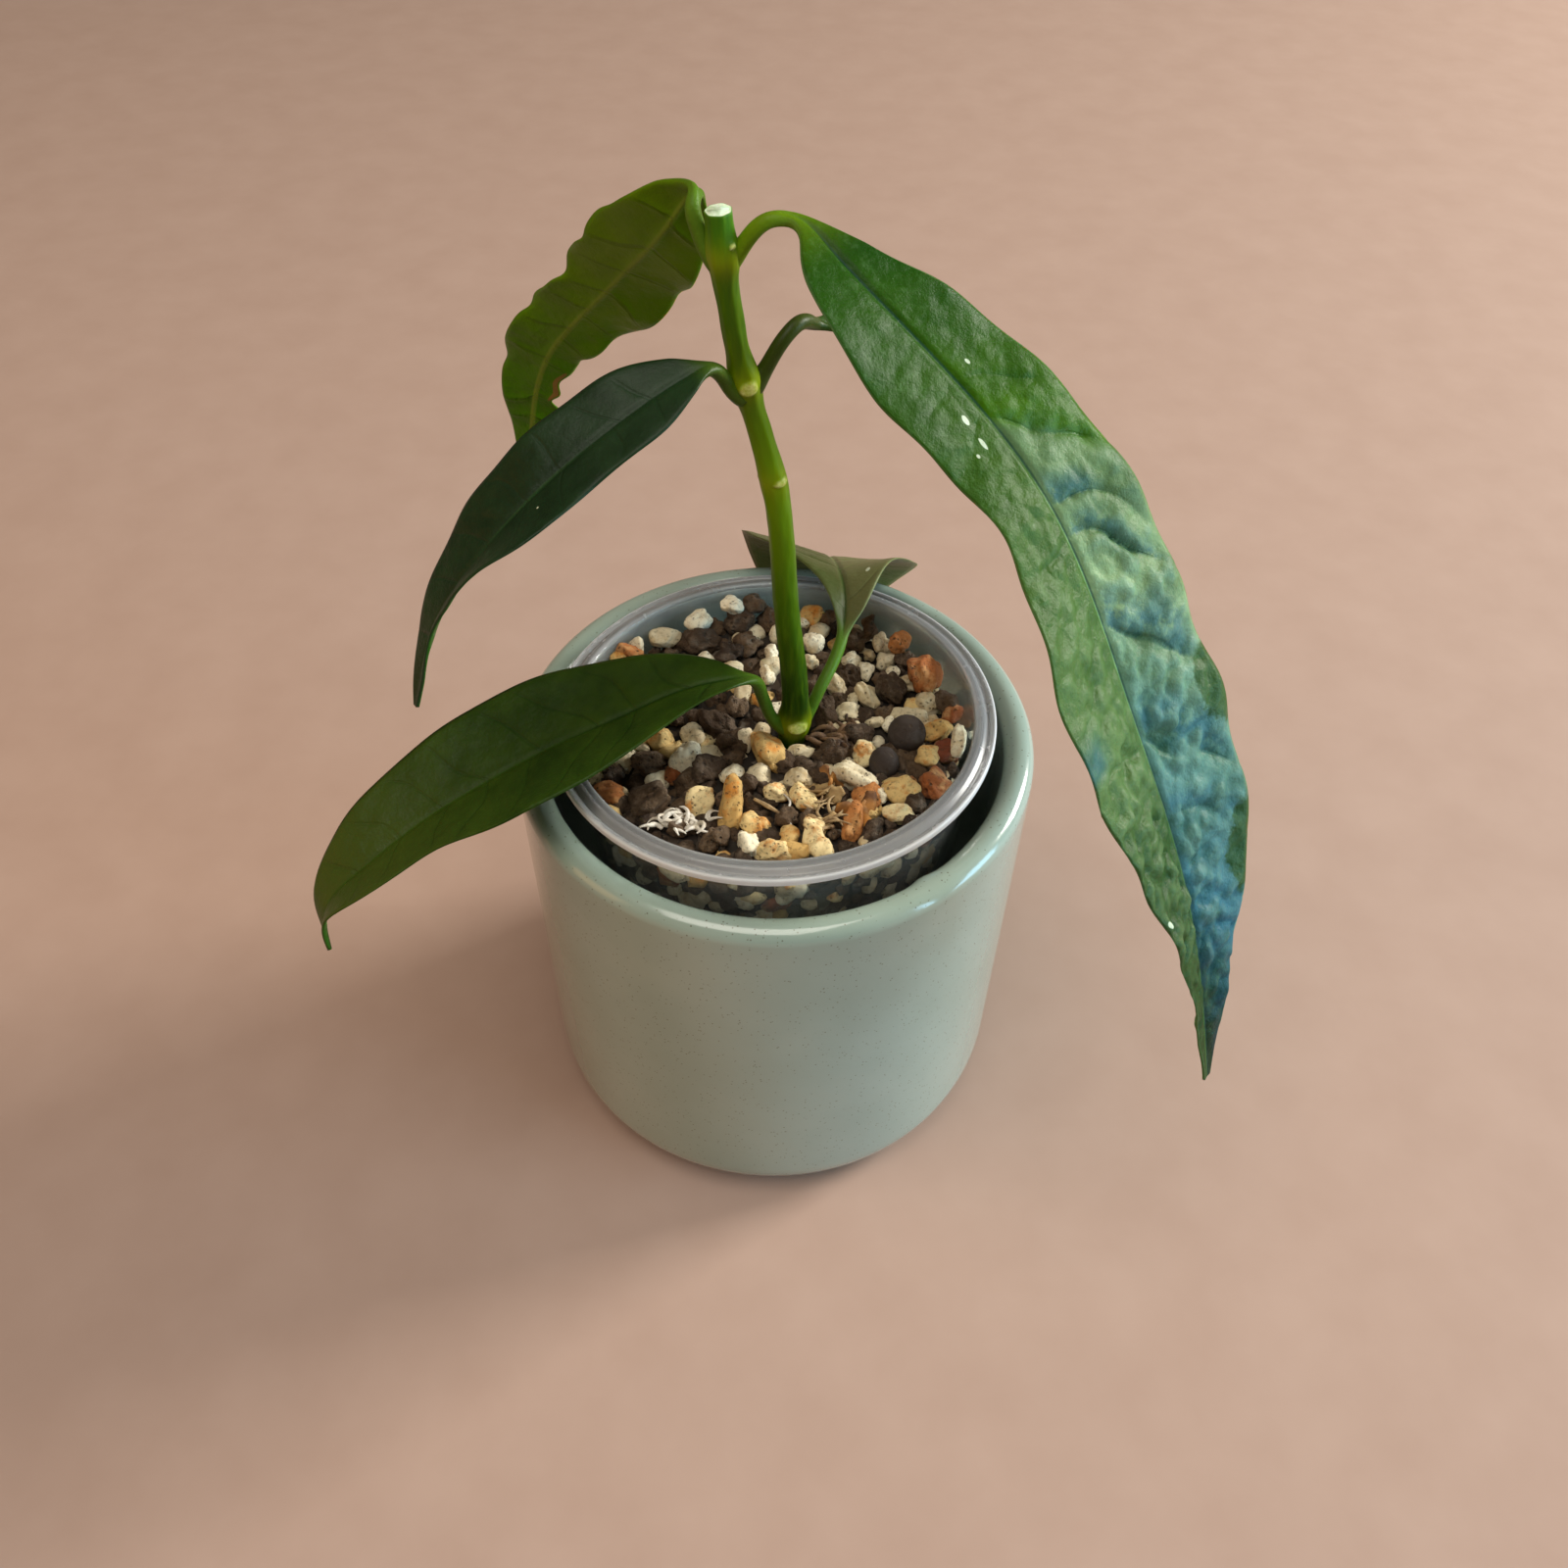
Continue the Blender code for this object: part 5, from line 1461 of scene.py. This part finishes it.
# Marks on a blade: place (u, v), reach (u, v), colour. The long leaf's two edge marks are painted
# shade on its turned lobes
LEAF_MARKS = {
    "leaf_top_right": (((0.231, -0.30), (0.0055, 0.040), FLECK_WHITE),
                       ((0.257, -0.33), (0.0070, 0.028), FLECK_WHITE),
                       ((0.262, -0.50), (0.0025, 0.025), FLECK_WHITE),
                       ((0.746, -0.90), (0.0050, 0.040), FLECK_WHITE),
                       ((0.198, 0.29), (0.0030, 0.025), FLECK_WHITE),
                       ((0.752, 1.02), (0.0540, 0.330), LOBE_PAINTED_SHADE),
                       ((0.578, 1.04), (0.0480, 0.380), LOBE_PAINTED_SHADE)),
    "leaf_top_left": (((0.70, -0.80), (0.045, 0.14), BITE_BROWN),),
    "leaf_mid_left": (((0.459, 0.39), (0.003, 0.02), FLECK_WHITE),),
    "leaf_base_right": (((0.177, -0.57), (0.010, 0.05), FLECK_WHITE),),
}


def mark(tree, place, reach):
    """1 inside an ellipse of the leaf's own u and v, with a ragged edge.

    It is 1 where ((u - u0) / a)^2 + ((v - v0) / b)^2, plus a little noise, is under 1.
    """
    parts = [maths(tree, "DIVIDE", maths(tree, "SUBTRACT", attribute(tree, key), at), far)
             for key, at, far in zip("uv", place, reach)]
    squares = [times(tree, part, part) for part in parts]
    rough = times(tree, noise(tree, 800.0, 2.0), 0.9)
    return step(tree, maths(tree, "ADD", maths(tree, "ADD", *squares), rough), 1.50, 1.15)


def long_leaf_skin(tree, u, v, clouds, tones):
    """Green on the left half, greyed low down by a painted sheen. On the right a painted silvery
    sheen and a painted blue reflection, bluest beside the veins.
    """
    right = step(tree, v, -0.03, 0.03)
    slanted = maths(tree, "SUBTRACT", u, times(tree, v, 0.086))
    # The two ramps hold a painted sheen and a painted reflection of the window, besides the leaf's
    # green
    skin = blend(tree, right, ramp(tree, u, *LONG_LEAF_LEFT), ramp(tree, slanted, *LONG_LEAF_RIGHT))
    outer = times(tree, step(tree, v, 0.40, 0.70), step(tree, u, 0.46, 0.36))
    # Painted reflection: blue on one slope of each pillow of the right half
    window_reflection = times(tree, attribute(tree, "painted_reflection_slope"), step(tree, v, 0.0, 0.08), step(tree, u, 0.26, 0.34),
                step(tree, noise(tree, 240.0, 4.0, 0.7), 0.34, 0.56),
                maths(tree, "SUBTRACT", 1.0, outer), 0.75)
    skin = blend(tree, window_reflection, skin, PAINTED_SKY_REFLECTION)
    # Painted reflection: a blue patch low on the left half
    reflection_patch = times(tree, step(tree, u, 0.515, 0.548), step(tree, u, 0.575, 0.556),
                  step(tree, v, -0.50, -0.85), 0.6)
    skin = blend(tree, reflection_patch, skin, PAINTED_SKY_REFLECTION)
    skin = blend(tree, times(tree, step(tree, clouds, 0.60, 0.34), 0.48), skin, tones["dark"])
    # Painted sheen: the crests of the crinkle are lightened
    crest = times(tree, attribute(tree, "crest"), step(tree, u, 0.25, 0.50),
                  step(tree, u, 0.92, 0.74), 0.42)
    return blend(tree, crest, skin, blend(tree, right, *CREST_PAINTED_SHEEN))


def under_skin(tree, u, clouds, vein_line, tones):
    """The lower face: paler, with a broad midrib, and a fresher green to the tip."""
    body = blend(tree, step(tree, clouds, 0.28, 0.72), tones["under"],
                 blend(tree, 0.5, tones["under"], tones["light"]))
    body = blend(tree, step(tree, u, 0.25, 0.85), body,
                 blend(tree, 0.55, body, (0.010, 0.110, 0.0)))
    body = blend(tree, times(tree, vein_line, 0.35), body, tones["vein"])
    return blend(tree, step(tree, attribute(tree, "across"), 0.55, 0.30), body, tones["rib"])


def leaf_finish(name, tones):
    """Skin, valleys in painted shade, midrib, and margin with a painted highlight on top, the lower
    face, then marks and the stalk.
    """
    made, tree, shader = new_finish(name.replace("_", " ") + " skin", IOR=1.40,
                                    Coat_Weight=tones["sheen"], Coat_Roughness=0.40,
                                    Specular_IOR_Level=0.13,
                                    Subsurface_Weight=0.08, Subsurface_Scale=0.0008)
    is_long = name == "leaf_top_right"
    u, v = attribute(tree, "u"), attribute(tree, "v")
    beside = maths(tree, "FRACT", maths(tree, "ADD", attribute(tree, "vein"), 0.5))
    beside = maths(tree, "ABSOLUTE", maths(tree, "SUBTRACT", beside, 0.5))
    vein_line = times(tree, step(tree, beside, 0.050, 0.012),
                      step(tree, attribute(tree, "edge"), 0.3, 2.5))
    clouds = noise(tree, 130.0, 5.0, 0.65)
    if is_long:
        skin = long_leaf_skin(tree, u, v, clouds, tones)
    else:
        skin = blend(tree, step(tree, clouds, 0.28, 0.72), tones["dark"], tones["light"])
        # Painted shade: the side veins' creases drawn as darker lines
        skin = blend(tree, times(tree, vein_line, 0.30), skin, tones["vein"])
    # A tint along u or v; on leaf_base_right it is a painted sheen on one half
    if name in LEAF_TINTS:
        key, low, high, share, tint = LEAF_TINTS[name]
        tinted = step(tree, attribute(tree, key), low, high)
        skin = blend(tree, times(tree, tinted, share), skin, tint)
    speckle = step(tree, noise(tree, 700.0, 4.0, 0.7), 0.50, 0.72)
    skin = blend(tree, times(tree, speckle, 0.12), skin, tones["rib"])
    # Painted shade: the valleys between the pillows darkened to the vein tone
    valley = attribute(tree, "valley")
    skin = blend(tree, times(tree, valley, 0.55, clamp=True), skin, tones["vein"])
    rib = ramp(tree, u, (0.28, tones["vein"]), (0.40, tones["rib"]), (0.50, tones["rib"]),
               (0.66, tones["light"]))
    if is_long:
        # Painted shade on the midrib groove's wall on the side with v > 0
        rib = blend(tree, step(tree, v, -0.006, 0.008), rib, RIB_PAINTED_SHADE)
    rib_line = step(tree, attribute(tree, "across"), 0.34, 0.14)
    skin = blend(tree, times(tree, rib_line, 0.7), skin, rib)
    # Painted highlight: a thin paler line along the margin, where the edge catches the light
    margin = step(tree, attribute(tree, "edge"), 0.30, 0.10)
    skin = blend(tree, times(tree, margin, 0.35), skin, tones["rib"])
    under = under_skin(tree, u, clouds, vein_line, tones)
    skin = blend(tree, attribute(tree, "under"), skin, under)
    for place, reach, tint in LEAF_MARKS.get(name, ()):
        skin = blend(tree, times(tree, mark(tree, place, reach), 0.85), skin, tint)
    feed(shader, "Base Color", blend(tree, attribute(tree, "stalk"), skin, tones["stalk"]))
    grain = noise(tree, 1500.0, 4.0, 0.7)
    feed(shader, "Roughness", add_node(tree, "ShaderNodeMapRange", {
        "Value": grain, "To Min": 0.26, "To Max": 0.50}))
    if is_long:
        vein_line = times(tree, vein_line, step(tree, valley, 0.1, 0.6))
    folds = times(tree, noise(tree, 420.0, 5.0, 0.6),
                  maths(tree, "ADD", times(tree, step(tree, u, 0.2, 0.45), 1.2), 0.6))
    high = maths(tree, "SUBTRACT", times(tree, grain, 0.5), times(tree, vein_line, 0.4))
    relief(tree, shader, maths(tree, "ADD", high, folds), 0.00026, 0.8)
    return made


LONG_LEAF_GRID = (400, 91)
OTHER_LEAF_GRID = (210, 57)
for name in LEAVES:
    size = LONG_LEAF_GRID if name == "leaf_top_right" else OTHER_LEAF_GRID
    points, faces, values = leaf_surface(name, *size)
    add_piece(name + "_skin", points, faces, leaf_finish(name, LEAF_COLOURS[name]), "leaf_green",
              [name], values)
